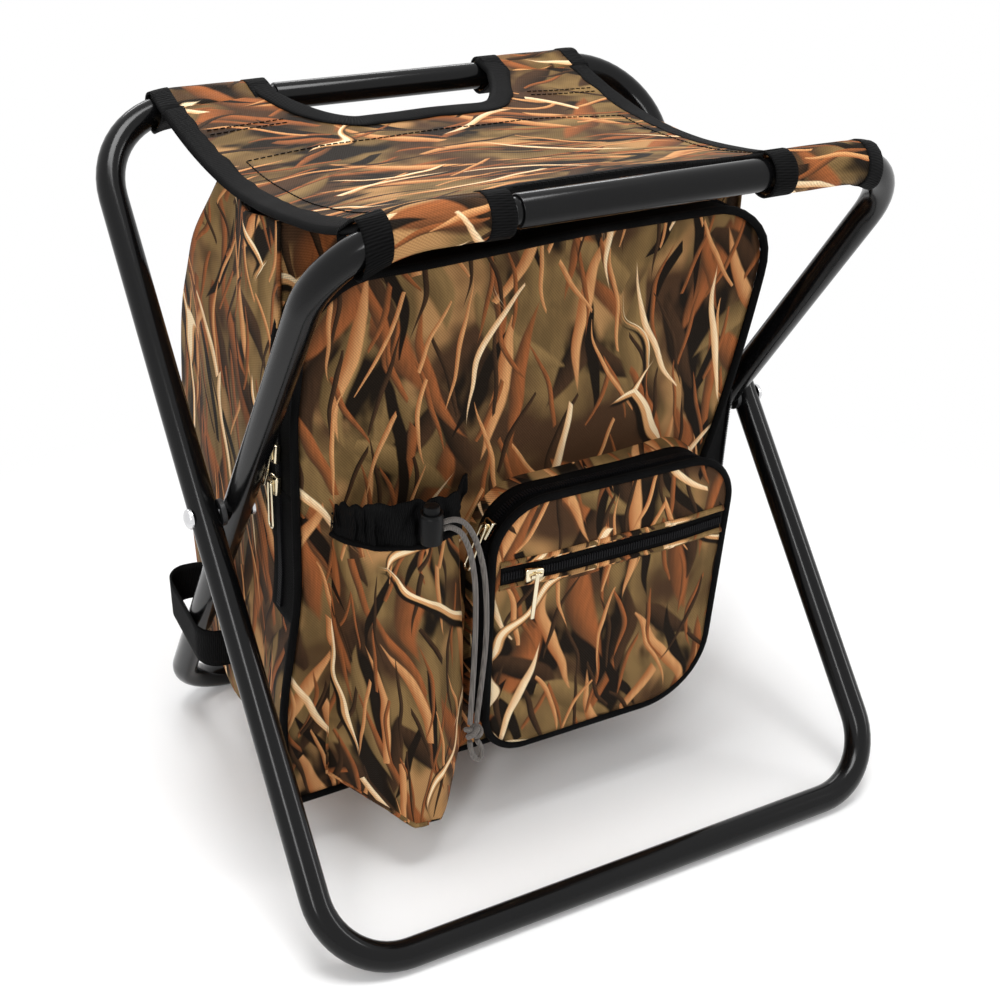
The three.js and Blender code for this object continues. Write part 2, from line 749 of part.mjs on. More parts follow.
// A strip of cloth along a stretch of the outline, stopping short at both ends.
function clothStrip( outline, from, to, startTrim, endTrim ) {

  const trim = ( line ) => {

    const strip = [ ...line, line[ 0 ] ].slice( from, to + 1 ).map( ( p ) => p.clone() );
    const last = strip.length - 1;
    strip[ 0 ].addScaledVector( strip[ 1 ].clone().sub( strip[ 0 ] ).normalize(), startTrim );
    strip[ last ].addScaledVector( strip[ last - 1 ].clone().sub( strip[ last ] ).normalize(), endTrim );
    return strip;

  };

  return new THREE.Shape( [ ...trim( outline ), ...trim( inset( outline, BAG_CLOTH ) ).reverse() ] );

}

// The mouth of the bag, in front panel coordinates: square at the foot, rounded at the top.
function archShape( halfWidth, foot, top, corner ) {

  const shape = new THREE.Shape();
  shape.moveTo( - halfWidth, foot );
  shape.lineTo( halfWidth, foot );
  shape.lineTo( halfWidth, top - corner );
  shape.absarc( halfWidth - corner, top - corner, corner, 0, Math.PI / 2 );
  shape.absarc( corner - halfWidth, top - corner, corner, Math.PI / 2, Math.PI );
  return shape;

}

// A band of even thickness over an arch.
function archBand( halfWidth, foot, top, corner, thickness ) {

  const outer = archShape( halfWidth, foot, top, corner ).getPoints( ARC_DIVISIONS );
  const innerArch = archShape( halfWidth - thickness, foot, top - thickness, corner - thickness );
  const inner = innerArch.getPoints( ARC_DIVISIONS );
  return new THREE.Shape( [ ...outer.slice( 1 ), outer[ 0 ], inner[ 0 ], ...inner.slice( 1 ).reverse() ] );

}

function inFrontFrame( geometry ) {

  return geometry.rotateX( PANEL_LEAN ).translate( 0, BAG_FRONT_Y, BAG_BOTTOM_Z );

}

function mouthBlock( lip, foot ) {

  const arch = archShape( BAG_X - lip, foot, PANEL_HEIGHT - lip, LID_CORNER - lip );
  return inFrontFrame( extrudeAlongY( arch, - LID_DEPTH, 2 * GUSSET_DEPTH ) );

}

function addBagShell( stool ) {

  const { outline, topFront, topBack, backFoot } = bagOutline();
  const innerX = BAG_X - BAG_CLOTH - FIT;
  const side = new THREE.Shape( outline );
  addPiece( stool, 'bag_left_side', extrudeAlongX( side, - BAG_X, BAG_CLOTH - BAG_X ), CAMOUFLAGE );
  addPiece( stool, 'bag_right_side', extrudeAlongX( side, BAG_X - BAG_CLOTH, BAG_X ), CAMOUFLAGE );

  const frameFront = GUSSET_DEPTH + FIT;
  const frameBack = frameFront + BAG_CLOTH;
  const spanX = ( shape ) => extrudeAlongX( shape, - innerX, innerX );
  const frameTrim = BAG_CLOTH + 2 * FIT;
  const topStrip = clothStrip( outline, topFront, topBack, frameTrim, FIT );
  const backStrip = clothStrip( outline, topBack, backFoot, FIT, FIT );
  const bottomStrip = clothStrip( outline, backFoot, backFoot + 1, FIT, 0 );
  addPiece( stool, 'bag_top_panel', spanX( topStrip ), CAMOUFLAGE );
  addPiece( stool, 'bag_back_panel', spanX( backStrip ), CAMOUFLAGE );
  addPiece( stool, 'bag_bottom_panel', spanX( bottomStrip ), CAMOUFLAGE );

  const frameTop = Math.min( heightUnderSeat( frameFront ), heightUnderSeat( frameBack ) );
  const frameShape = new THREE.Shape( [
    point2( - innerX, LID_FOOT ),
    point2( innerX, LID_FOOT ),
    point2( innerX, frameTop ),
    point2( - innerX, frameTop ),
  ] );
  const mouthFrame = inFrontFrame( extrudeAlongY( frameShape, frameFront, frameBack ) );
  const mouthFoot = LID_HINGE_HEIGHT - MOUTH_LIP;
  addPiece( stool, 'bag_mouth_frame', cut( mouthFrame, mouthBlock( MOUTH_LIP, mouthFoot ) ), BLACK_CLOTH );

  // Foam inside the cloth, and the liner inside the foam
  const layers = [ [ 'bag_foam', BAG_FOAM, FOAM ], [ 'bag_liner', BAG_LINER, FOIL ] ];
  let skin = BAG_CLOTH + FIT;
  for ( const [ name, thickness, material ] of layers ) {

    const tub = extrudeAlongX( new THREE.Shape( inset( outline, skin ) ), skin - BAG_X, BAG_X - skin );
    const hollow = skin + thickness;
    const inside = new THREE.Shape( inset( outline, hollow ) );
    const space = extrudeAlongX( inside, hollow - BAG_X, BAG_X - hollow );
    addPiece( stool, name, cut( tub, space, mouthBlock( MOUTH_LIP + thickness, mouthFoot ) ), material );
    skin = hollow + FIT;

  }

}

// Front panel, lid and zip, in front panel coordinates
function addFront( front ) {

  const lower = new THREE.Shape( [
    point2( - BAG_X, 0 ),
    point2( BAG_X, 0 ),
    point2( BAG_X, LID_HINGE_HEIGHT ),
    point2( - BAG_X, LID_HINGE_HEIGHT ),
  ] );
  addPiece( front, 'bag_lower_front', extrudeAlongY( lower, 0, BAG_CLOTH ), CAMOUFLAGE );

  const arch = ( skin ) => archShape( BAG_X - skin, LID_FOOT + skin, PANEL_HEIGHT - skin, LID_CORNER - skin );
  const lidFace = extrudeAlongY( archShape( BAG_X, LID_FOOT, PANEL_HEIGHT, LID_CORNER ), 0, BAG_CLOTH );
  const rim = archBand( BAG_X, LID_FOOT, PANEL_HEIGHT, LID_CORNER, BAG_CLOTH );
  const lidRim = extrudeAlongY( rim, BAG_CLOTH / 2, LID_DEPTH );
  addPiece( front, 'lid_flap', join( lidFace, lidRim ), CAMOUFLAGE );
  const lidSkin = BAG_CLOTH + FIT;
  const linerBack = lidSkin + BAG_FOAM + FIT;
  addPiece( front, 'lid_foam', extrudeAlongY( arch( lidSkin ), lidSkin, lidSkin + BAG_FOAM ), FOAM );
  addPiece( front, 'lid_liner', extrudeAlongY( arch( lidSkin ), linerBack, linerBack + BAG_LINER ), FOIL );
  addPiece( front, 'zip_gusset', extrudeAlongY( rim, LID_DEPTH + FIT, GUSSET_DEPTH ), BLACK_CLOTH );

  const tapeX = BAG_X + FIT + ZIP_TAPE;
  const tapeTop = PANEL_HEIGHT + FIT + ZIP_TAPE;
  const tapeCorner = LID_CORNER + FIT + ZIP_TAPE;
  const tape = archBand( tapeX, LID_FOOT, tapeTop, tapeCorner, ZIP_TAPE );
  const bagTapeFront = LID_DEPTH + FIT;
  const bagTapeBack = bagTapeFront + BAG_TAPE_WIDTH;
  const lidTapeFront = LID_DEPTH - LID_TAPE_WIDTH;
  addPiece( front, 'zip_tape_lid', extrudeAlongY( tape, lidTapeFront, LID_DEPTH ), BLACK_CLOTH );
  addPiece( front, 'zip_tape_bag', extrudeAlongY( tape, bagTapeFront, bagTapeBack ), BLACK_CLOTH );
  for ( const [ side, outerX ] of [ [ 'left', - BAG_X - FIT ], [ 'right', tapeX ] ] ) {

    const strip = new THREE.Shape( [
      point2( outerX - ZIP_TAPE, ZIP_END_HEIGHT ),
      point2( outerX, ZIP_END_HEIGHT ),
      point2( outerX, LID_HINGE_HEIGHT ),
      point2( outerX - ZIP_TAPE, LID_HINGE_HEIGHT ),
    ] );
    const lowerTape = extrudeAlongY( strip, lidTapeFront, bagTapeBack );
    addPiece( front, `zip_tape_lower_${ side }`, lowerTape, BLACK_CLOTH );

  }

  const pipingOut = FIT + PIPING_RADIUS;
  const pipingX = BAG_X + pipingOut;
  const pipingTop = PANEL_HEIGHT + pipingOut;
  const pipingY = PIPING_RADIUS + FIT;
  const round = polygonShape( PIPING_RADIUS, PIPING_SIDES );
  const over = new BentPath( [
    point3( - pipingX, pipingY, LID_FOOT ),
    point3( - pipingX, pipingY, pipingTop ),
    point3( pipingX, pipingY, pipingTop ),
    point3( pipingX, pipingY, LID_FOOT ),
  ], [ LID_CORNER + pipingOut, LID_CORNER + pipingOut ], CORNER_STEPS );
  addPiece( front, 'lid_piping', sweepBent( round, over ), BLACK_CLOTH );
  const pipingEnd = LID_HINGE_HEIGHT - PIPING_BREAK;
  const under = new BentPath( [
    point3( - pipingX, pipingY, pipingEnd ),
    point3( - pipingX, pipingY, - pipingOut ),
    point3( pipingX, pipingY, - pipingOut ),
    point3( pipingX, pipingY, pipingEnd ),
  ], [ pipingOut, pipingOut ], CORNER_STEPS );
  addPiece( front, 'lower_piping', sweepBent( round, under ), BLACK_CLOTH );

}

// Zip sliders. Each is drawn on a wall that faces -Y, with its pull hanging along -Z.
function sliderBody( sideways ) {

  const half = SLIDER_LENGTH / 2;
  const wide = SLIDER_WIDTH / 2;
  const nose = wide - SLIDER_NOSE;
  const outline = new THREE.Shape( [
    point2( - nose, - half ),
    point2( nose, - half ),
    point2( wide, 0 ),
    point2( wide, half - SLIDER_NOSE ),
    point2( nose, half ),
    point2( - nose, half ),
    point2( - wide, half - SLIDER_NOSE ),
    point2( - wide, 0 ),
  ] );
  const body = extrudeAlongY( outline, - FIT - SLIDER_HEIGHT, - FIT );
  if ( sideways ) body.rotateY( - Math.PI / 2 );
  const postReach = FIT + SLIDER_HEIGHT + FIT + PULL_THICKNESS + FIT;
  const postShape = polygonShape( SLIDER_POST_DIAMETER / 2, POST_SIDES );
  return join( body, extrudeAlongY( postShape, - postReach, - FIT - SLIDER_HEIGHT / 2 ) );

}

function pullTab() {

  const eye = SLIDER_POST_DIAMETER / 2 + PULL_EYE_CLEARANCE;
  const half = PULL_WIDTH / 2;
  const outline = new THREE.Shape();
  outline.absarc( 0, 0, half, 0, Math.PI );
  outline.lineTo( - half, half - PULL_LENGTH );
  outline.absarc( 0, half - PULL_LENGTH, half, Math.PI, 2 * Math.PI );
  const hole = new THREE.Path( polygonPoints( eye, POST_SIDES ) );
  outline.holes.push( hole );
  const back = FIT + SLIDER_HEIGHT + FIT;
  return extrudeAlongY( outline, - back - PULL_THICKNESS, - back );

}

function addSlider( parent, name, sideways ) {

  const seat = new THREE.Group();
  addPiece( seat, `${ name }_slider`, sliderBody( sideways ), ZIP_METAL );
  addPiece( seat, `${ name }_pull`, pullTab(), ZIP_METAL );
  parent.add( seat );
  return seat;

}

function addSliders( front ) {

  const wallX = - BAG_X - FIT - ZIP_TAPE;
  const mainSliders = [ [ 'upper_zip', UPPER_SLIDER_HEIGHT ], [ 'lower_zip', LOWER_SLIDER_HEIGHT ] ];
  for ( const [ name, height ] of mainSliders ) {

    const slider = addSlider( front, name, false );
    slider.position.set( wallX, LID_DEPTH, height );
    slider.rotation.z = - Math.PI / 2;

  }

  const faceSlider = addSlider( front, 'face_zip', true );
  faceSlider.position.set( FACE_SLIDER_X, - POCKET_FACE_FRONT - FIT - ZIP_TAPE, FACE_ZIP_HEIGHT );

  // The pocket's own slider sits on the rounded corner of its zip.
  const cornerSlider = addSlider( front, 'pocket_zip', false );
  const outward = point3( Math.cos( CORNER_SLIDER_ANGLE ), 0, Math.sin( CORNER_SLIDER_ANGLE ) );
  const centre = point3( POCKET_LEFT + POCKET_CORNER, 0, POCKET_TOP - POCKET_CORNER );
  const zipLine = POCKET_ZIP_FRONT - FIT - SLIDER_WIDTH / 2;
  const down = point3( - outward.z, 0, outward.x );
  const inward = outward.clone().negate();
  const turn = new THREE.Matrix4().makeBasis( outward.clone().cross( down ), inward, down.clone().negate() );
  cornerSlider.setRotationFromMatrix( turn );
  cornerSlider.position.copy( centre ).addScaledVector( outward, POCKET_CORNER );
  cornerSlider.position.y = - zipLine;

}

// Front pocket
function roundedRectangle( left, right, foot, top, corner ) {

  const shape = new THREE.Shape();
  shape.moveTo( left + corner, foot );
  shape.lineTo( right - corner, foot );
  shape.absarc( right - corner, foot + corner, corner, - Math.PI / 2, 0 );
  shape.lineTo( right, top - corner );
  shape.absarc( right - corner, top - corner, corner, 0, Math.PI / 2 );
  shape.lineTo( left + corner, top );
  shape.absarc( left + corner, top - corner, corner, Math.PI / 2, Math.PI );
  shape.lineTo( left, foot + corner );
  shape.absarc( left + corner, foot + corner, corner, Math.PI, Math.PI * 1.5 );
  return shape;

}

function pocketShape( skin ) {

  return roundedRectangle(
    POCKET_LEFT + skin,
    POCKET_RIGHT - skin,
    POCKET_FOOT + skin,
    POCKET_TOP - skin,
    POCKET_CORNER - skin,
  );

}

function addPocket( front ) {

  const wall = pocketShape( 0 );
  wall.holes.push( pocketShape( POCKET_CLOTH ) );
  addPiece( front, 'pocket_gusset', extrudeAlongY( wall, - POCKET_GUSSET_FRONT, - FIT ), CAMOUFLAGE );
  const zipWall = extrudeAlongY( wall, - POCKET_ZIP_FRONT, - POCKET_GUSSET_FRONT - FIT );
  addPiece( front, 'pocket_zip_gusset', zipWall, BLACK_CLOTH );
  const face = extrudeAlongY( pocketShape( 0 ), - POCKET_FACE_FRONT, - POCKET_FACE_BACK );
  addPiece( front, 'pocket_face', face, CAMOUFLAGE );

  const out = FIT + PIPING_RADIUS;
  const rim = pocketShape( - out - PIPING_RADIUS );
  rim.holes.push( pocketShape( - FIT ) );
  const piping = extrudeAlongY( rim, - POCKET_FACE_FRONT, - POCKET_FACE_BACK );
  addPiece( front, 'pocket_piping', piping, BLACK_CLOTH );

  const tapeFoot = FACE_ZIP_HEIGHT - FACE_ZIP_WIDTH / 2;
  const tape = new THREE.Shape( [
    point2( POCKET_LEFT + FACE_ZIP_MARGIN, tapeFoot ),
    point2( POCKET_RIGHT - FACE_ZIP_MARGIN, tapeFoot ),
    point2( POCKET_RIGHT - FACE_ZIP_MARGIN, tapeFoot + FACE_ZIP_WIDTH ),
    point2( POCKET_LEFT + FACE_ZIP_MARGIN, tapeFoot + FACE_ZIP_WIDTH ),
  ] );
  const tapeBack = POCKET_FACE_FRONT + FIT;
  addPiece( front, 'face_zip_tape', extrudeAlongY( tape, - tapeBack - ZIP_TAPE, - tapeBack ), BLACK_CLOTH );

}

// Bottle pouch: flat against the panel, rounded in front
function pouchRing( halfWidth, depth, backHeight, frontHeight, skin ) {

  const ring = [];
  const reach = depth - 2 * skin;
  for ( let i = 0; i <= POUCH_STEPS; i ++ ) {

    const angle = Math.PI * i / POUCH_STEPS;
    const share = Math.sin( angle );
    const x = POUCH_CENTRE - ( halfWidth - skin ) * Math.cos( angle );
    const height = backHeight + ( frontHeight - backHeight ) * share;
    ring.push( point3( x, - FIT - skin - reach * share, height ) );

  }

  return ring;

}

function pouchWall( levels, cloth, floor ) {

  const outer = loft( levels.map( ( level ) => pouchRing( ...level, 0 ) ) );
  const inner = levels.map( ( level ) => pouchRing( ...level, cloth ) );
  const lift = ( ring, rise ) => ring.map( ( p ) => point3( p.x, p.y, p.z + rise ) );
  inner[ 0 ] = lift( inner[ 0 ], floor );
  inner[ inner.length - 1 ] = lift( inner[ inner.length - 1 ], cloth );
  return cut( outer, loft( inner ) );

}

function addPouch( front ) {

  addPiece( front, 'pouch_body', pouchWall( POUCH_LEVELS, POUCH_CLOTH, POUCH_CLOTH ), CAMOUFLAGE );
  const [ halfWidth, depth, backHeight, frontHeight ] = POUCH_LEVELS[ POUCH_LEVELS.length - 1 ];
  const collarFoot = [ halfWidth, depth, backHeight + FIT, frontHeight + FIT ];
  const collarTop = [
    halfWidth - COLLAR_DRAW,
    depth - COLLAR_DRAW / 2,
    backHeight + COLLAR_BACK_RISE,
    frontHeight + COLLAR_FRONT_RISE,
  ];
  const collar = pouchWall( [ collarFoot, collarTop ], COLLAR_CLOTH, - COLLAR_CLOTH );
  addPiece( front, 'pouch_collar', collar, BLACK_CLOTH );

}

// Cord lock: a barrel with a sprung button, standing against the front of the collar
function addCordLock( front ) {

  const lock = new THREE.Group();
  const [ , rimDepth, , rimHeight ] = POUCH_LEVELS[ POUCH_LEVELS.length - 1 ];
  const radius = LOCK_DIAMETER / 2;
  lock.position.set( LOCK_X, - FIT - rimDepth - FIT - radius, rimHeight + LOCK_RISE );
  const half = LOCK_LENGTH / 2;
  const bore = radius - LOCK_WALL;
  const barrel = turned( [
    [ 0, - half ],
    [ radius, - half ],
    [ radius, half ],
    [ bore, half ],
    [ bore, LOCK_FLOOR - half ],
    [ 0, LOCK_FLOOR - half ],
  ], LOCK_SIDES );
  const slot = () => new THREE.BoxGeometry( 2 * LOCK_DIAMETER, LOCK_SLOT_WIDTH, LOCK_SLOT_HEIGHT );
  addPiece( lock, 'cord_lock_body', cut( barrel, slot() ), BLACK_PLASTIC );

  // The button's slot stands above the barrel's until it is pressed.
  const buttonRadius = bore - FIT;
  const springFoot = LOCK_FLOOR - half + FIT;
  const springTop = springFoot + SPRING_LENGTH;
  const shankFoot = springTop + FIT;
  const button = turned( [
    [ 0, shankFoot ],
    [ buttonRadius, shankFoot ],
    [ buttonRadius, half + BUTTON_RISE - BUTTON_CHAMFER ],
    [ buttonRadius - BUTTON_CHAMFER, half + BUTTON_RISE ],
    [ 0, half + BUTTON_RISE ],
  ], LOCK_SIDES );
  const buttonSlot = slot().translate( 0, 0, BUTTON_TRAVEL );
  addPiece( lock, 'cord_lock_button', cut( button, buttonSlot ), BLACK_PLASTIC );

  const springBore = buttonRadius - SPRING_WALL;
  const spring = turned( [
    [ springBore, springFoot ],
    [ buttonRadius, springFoot ],
    [ buttonRadius, springTop ],
    [ springBore, springTop ],
    [ springBore, springFoot ],
  ], LOCK_SIDES );
  addPiece( lock, 'cord_lock_spring', spring, STEEL );
  front.add( lock );

}

const cordPlace = ( [ x, out, height ] ) => point3( x, - out, height );

function cordTube( points ) {

  const route = new THREE.CatmullRomCurve3( points.map( cordPlace ) );
  return sweep( polygonShape( CORD_DIAMETER / 2, CORD_SIDES ), route, CORD_STEPS );

}

function addDrawcord( front ) {

  addPiece( front, 'drawcord_right', cordTube( CORD_A_POINTS ), CORD );
  addPiece( front, 'drawcord_left', cordTube( CORD_B_POINTS ), CORD );
  const knot = new THREE.SphereGeometry( KNOT_RADIUS, KNOT_SIDES, KNOT_RINGS ).rotateX( Math.PI / 2 );
  const centre = cordPlace( KNOT_CENTRE );
  addPiece( front, 'drawcord_knot', knot, CORD ).position.copy( centre );
  addPiece( front, 'drawcord_end_loop', cordTube( END_LOOP_POINTS ), CORD );

}

// Webbing loops round the inner loop's rear legs
function addWebbing( stool ) {

  const farX = INNER_LEG_X + TUBE_CORNER + FIT + WEBBING_THICKNESS;
  const nearX = BAG_X + FIT;
  const corner = ( farX - nearX ) / 2;
  const band = roundedRectangle( nearX, farX, WEBBING_FRONT_Y, WEBBING_BACK_Y, corner - FIT );
  const t = WEBBING_THICKNESS;
  band.holes.push( roundedRectangle(
    nearX + t,
    farX - t,
    WEBBING_FRONT_Y + t,
    WEBBING_BACK_Y - t,
    corner - FIT - t,
  ) );
  const foot = WEBBING_CENTRE_Z - WEBBING_WIDTH / 2;
  const right = extrudeAlongZ( band, foot, foot + WEBBING_WIDTH );
  const shift = - nearX - farX;
  addPiece( stool, 'webbing_loop_right', right, BLACK_CLOTH );
  addPiece( stool, 'webbing_loop_left', right.clone().translate( shift, 0, 0 ), BLACK_CLOTH );

}

const stool = new THREE.Group();
const outer = loopGroup( - LEAN );
const inner = loopGroup( LEAN );
addPiece( outer, 'outer_frame_tube', loopTube( OUTER_LEG_X, Math.PI - LEAN ), BLACK_TUBE );
addPiece( inner, 'inner_frame_tube', loopTube( INNER_LEG_X, Math.PI + LEAN ), BLACK_TUBE );
addPivot( inner, 1, 'right' );
addPivot( inner, - 1, 'left' );
stool.add( outer, inner );
addSeat( stool, inner, outer );
addBagShell( stool );
addWebbing( stool );

const front = new THREE.Group();
front.position.set( 0, BAG_FRONT_Y, BAG_BOTTOM_Z );
front.rotation.x = PANEL_LEAN;
addFront( front );
addSliders( front );
addPocket( front );
addPouch( front );
addCordLock( front );
addDrawcord( front );
stool.add( front );

export default stool;
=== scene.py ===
"""Looks of a folding cooler stool: bent tubes, sling seat, insulated bag, pocket, pouch and drawcord.

Metres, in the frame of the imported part: +Z up, -Y to the pocket side.
"""

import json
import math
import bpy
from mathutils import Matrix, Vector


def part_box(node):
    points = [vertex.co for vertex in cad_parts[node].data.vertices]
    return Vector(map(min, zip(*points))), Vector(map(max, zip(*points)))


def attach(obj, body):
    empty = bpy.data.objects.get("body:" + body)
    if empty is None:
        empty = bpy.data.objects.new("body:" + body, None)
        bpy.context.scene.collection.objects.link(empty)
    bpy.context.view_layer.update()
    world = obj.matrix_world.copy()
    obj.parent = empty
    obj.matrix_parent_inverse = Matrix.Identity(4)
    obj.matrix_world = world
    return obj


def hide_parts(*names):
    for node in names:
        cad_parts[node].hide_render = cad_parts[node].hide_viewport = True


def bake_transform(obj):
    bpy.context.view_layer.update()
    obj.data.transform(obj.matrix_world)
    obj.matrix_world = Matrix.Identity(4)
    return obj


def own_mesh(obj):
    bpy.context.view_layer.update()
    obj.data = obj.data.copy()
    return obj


bl_info = {
    "name": "Folding Cooler Stool",
    "version": (1, 0, 0),
    "blender": (4, 5, 0),
    "location": "View3D > Sidebar > Stool",
    "description": "Builds the tubes, cloth and fittings of a folding cooler stool around its packed frame",
    "category": "Add Mesh",
}

import bmesh
import bpy
from bpy.props import FloatProperty, FloatVectorProperty, PointerProperty
from mathutils import Matrix, Vector, noise

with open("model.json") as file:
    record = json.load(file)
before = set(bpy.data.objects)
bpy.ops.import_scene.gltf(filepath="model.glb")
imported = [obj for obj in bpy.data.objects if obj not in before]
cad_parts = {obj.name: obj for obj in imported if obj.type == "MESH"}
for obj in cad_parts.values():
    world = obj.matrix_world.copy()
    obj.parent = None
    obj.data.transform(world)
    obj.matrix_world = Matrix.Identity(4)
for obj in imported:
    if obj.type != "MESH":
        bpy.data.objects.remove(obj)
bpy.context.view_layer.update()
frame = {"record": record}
MM = 0.001
JOINTS = {joint["name"]: joint for joint in frame["record"]["behaviour"]["joints"]}

# Camera of the photograph
CAMERA_EYE = (-0.4049, -0.7324, 0.5769)
CAMERA_AZIMUTH = math.radians(-29.03)
CAMERA_ELEVATION = math.radians(25.70)
CAMERA_LENS = 56.34
CAMERA_SENSOR = 36

# Tube loops
PIVOT = Vector(JOINTS["fold"]["pos_m"])
TUBE_RADIUS = 8 * MM
TUBE_SEGMENTS = 40
OUTER_LEG_X = 179 * MM
INNER_LEG_X = 160.84 * MM
TOP_BEND_RADIUS = 50 * MM
FOOT_BEND_RADIUS = 42 * MM
BEND_STEPS = 14
TURNED_SEGMENTS = 32
OUTER_LOW, OUTER_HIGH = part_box("outer_frame_tube")
TOP_Y = OUTER_HIGH[1] - TUBE_RADIUS
TOP_Z = OUTER_HIGH[2] - TUBE_RADIUS
FOOT_Y = -OUTER_LOW[1] - TUBE_RADIUS
LEAN = math.atan2(TOP_Y + FOOT_Y, TOP_Z - TUBE_RADIUS)
TOP_ARM = (TOP_Z - PIVOT.z) / math.cos(LEAN)
FOOT_ARM = (PIVOT.z - TUBE_RADIUS) / math.cos(LEAN)
JOINT_X = -70 * MM
JOINT_GAP = 3 * MM
SWAGE_RADIUS = 6.6 * MM

# Sling seat
SEAT_SHIFT = -5 * MM
SEAT_HALF = 136 * MM
SEAT_SAG = 22 * MM
SEAT_CLOTH = 2.2 * MM
SLEEVE_RADIUS = 10.1 * MM
HOLE_HALF = 72 * MM
HOLE_FLAT = 38 * MM
HOLE_ROOT = 16 * MM
BACK_HOLE = 62 * MM
FRONT_HOLE = 36 * MM

# Front panel. Places on it are x, distance out of it, and height up along it.
PANEL_UP = Vector(JOINTS["upper_zip_travel"]["axis"])
PANEL_OUT = Vector((0, -PANEL_UP.z, PANEL_UP.y))
PANEL_FOOT = Vector((0, -35 * MM, 35 * MM))
PANEL_HEIGHT = 309 * MM
PANEL_HALF = 140 * MM
PANEL_CORNER = 38 * MM
PANEL_FRAME = Matrix((
    (1, 0, 0, PANEL_FOOT.x),
    (0, -PANEL_OUT.y, PANEL_UP.y, PANEL_FOOT.y),
    (0, -PANEL_OUT.z, PANEL_UP.z, PANEL_FOOT.z),
    (0, 0, 0, 1),
))
HINGE_HEIGHT = 193 * MM
ZIP_DEPTH = 19.5 * MM
GUSSET_DEPTH = 28 * MM
MOUTH_DEPTH = GUSSET_DEPTH + 1.5 * MM
ZIP_END = 117 * MM

# Bag
BAG_BACK = [
    (78, 31), (114, 38), (146, 82), (155, 140), (145, 225), (130, 280), (109, 314), (85, 345), (62, 371),
]
BAG_CORNER = 13 * MM
BAG_TOP = 336 * MM
# Shares of a half row of the shell: the side, its rear corner and half of the back
SIDE_SHARE, CORNER_SHARE, BACK_SHARE = 0.6, 0.1, 0.3

# Front pocket
POCKET_CORNERS = [(-48, 24), (97, 24), (104, 183), (-48, 183)]
POCKET_RADII = [24, 40, 27, 30]
POCKET_MIDDLE_X = 28 * MM
POCKET_MIDDLE_UP = 103 * MM
POCKET_GUSSET = 14.3 * MM
POCKET_ZIP = 33.6 * MM
POCKET_FRONT = 38.9 * MM
FACE_ZIP = 143 * MM

# Bottle pouch
POUCH_X = -93 * MM
LOCK_PLACE = (-94 * MM, 50.6 * MM, 193 * MM)

# Drawcord, as x, distance out of the front panel and height, in millimetres
CORD_RADIUS = 1.5 * MM
CORD_RIGHT = [
    (-87.6, 50.6, 194.5), (-82.4, 50.6, 194.6), (-77.8, 50.6, 193.1), (-74.1, 50.9, 189.8),
    (-71.1, 51.2, 185.0), (-68.4, 51.8, 178.7), (-66.1, 52.4, 170.8), (-64.2, 53.2, 161.3),
    (-63.1, 54.1, 150.5), (-62.6, 55.0, 138.4), (-62.7, 56.1, 125.4), (-63.6, 57.2, 112.1),
    (-65.1, 58.2, 98.8), (-66.8, 59.3, 85.8), (-68.5, 60.3, 73.9), (-69.1, 60.7, 69.0),
]
CORD_LEFT = [
    (-87.6, 50.6, 190.7), (-83.4, 50.7, 190.5), (-79.6, 51.0, 188.3), (-76.4, 51.3, 184.8),
    (-74.1, 51.7, 179.7), (-72.0, 52.2, 173.3), (-70.5, 52.8, 165.3), (-69.4, 53.6, 156.0),
    (-69.0, 54.5, 145.3), (-69.1, 55.4, 133.7), (-69.5, 56.4, 121.2), (-70.2, 57.5, 108.4),
    (-71.1, 58.5, 95.6), (-72.0, 59.5, 83.3), (-72.8, 60.3, 73.4), (-73.2, 60.7, 69.0),
]
CORD_LOOP = [
    (-73.3, 61.6, 57.7), (-73.1, 61.9, 54.3), (-72.2, 62.2, 50.1), (-70.5, 62.5, 46.3),
    (-68.2, 62.7, 44.4), (-66.2, 62.5, 45.9), (-66.0, 62.3, 49.2), (-67.1, 62.0, 53.1),
    (-68.5, 61.7, 56.3), (-69.1, 61.5, 57.7),
]
KNOT_PLACE = (-71.2, 61.1, 63.3)
KNOT_STEPS = 72
CORD_STEPS = 64

# Zip chain
TOOTH = 0.9 * MM
TOOTH_GAP = 0.7 * MM
CHAIN_WIDTH = 4.8 * MM
TOOTH_HEIGHT = 1.3 * MM

# Camouflage print
TWIGS_PER_METRE = 9


def colour_property(name, description, default):
    return FloatVectorProperty(name=name, description=description, subtype="COLOR", size=3, min=0, max=1,
                               default=default)


def length_property(name, description, default):
    return FloatProperty(name=name, description=description, default=default, unit="LENGTH", precision=4)


class StoolSizes(bpy.types.PropertyGroup):
    """Sizes of the soft goods that a user would change"""

    panel_bulge: length_property("Panel bulge", "How far the front panel swells in its middle", 8 * MM)
    side_bulge: length_property("Side bulge", "How far each side of the bag swells", 8 * MM)
    wrinkle: length_property("Wrinkle", "Depth of the bag's loose folds", 3 * MM)
    binding: length_property("Binding", "Width of the black binding on the seat's edges", 10 * MM)
    piping: length_property("Piping", "Diameter of the piping", 4.8 * MM)
    stitch: length_property("Stitch", "Length of one stitch", 2.6 * MM)
    weave: length_property("Weave", "Pitch of the cloth's diagonal weave", 1.5 * MM)


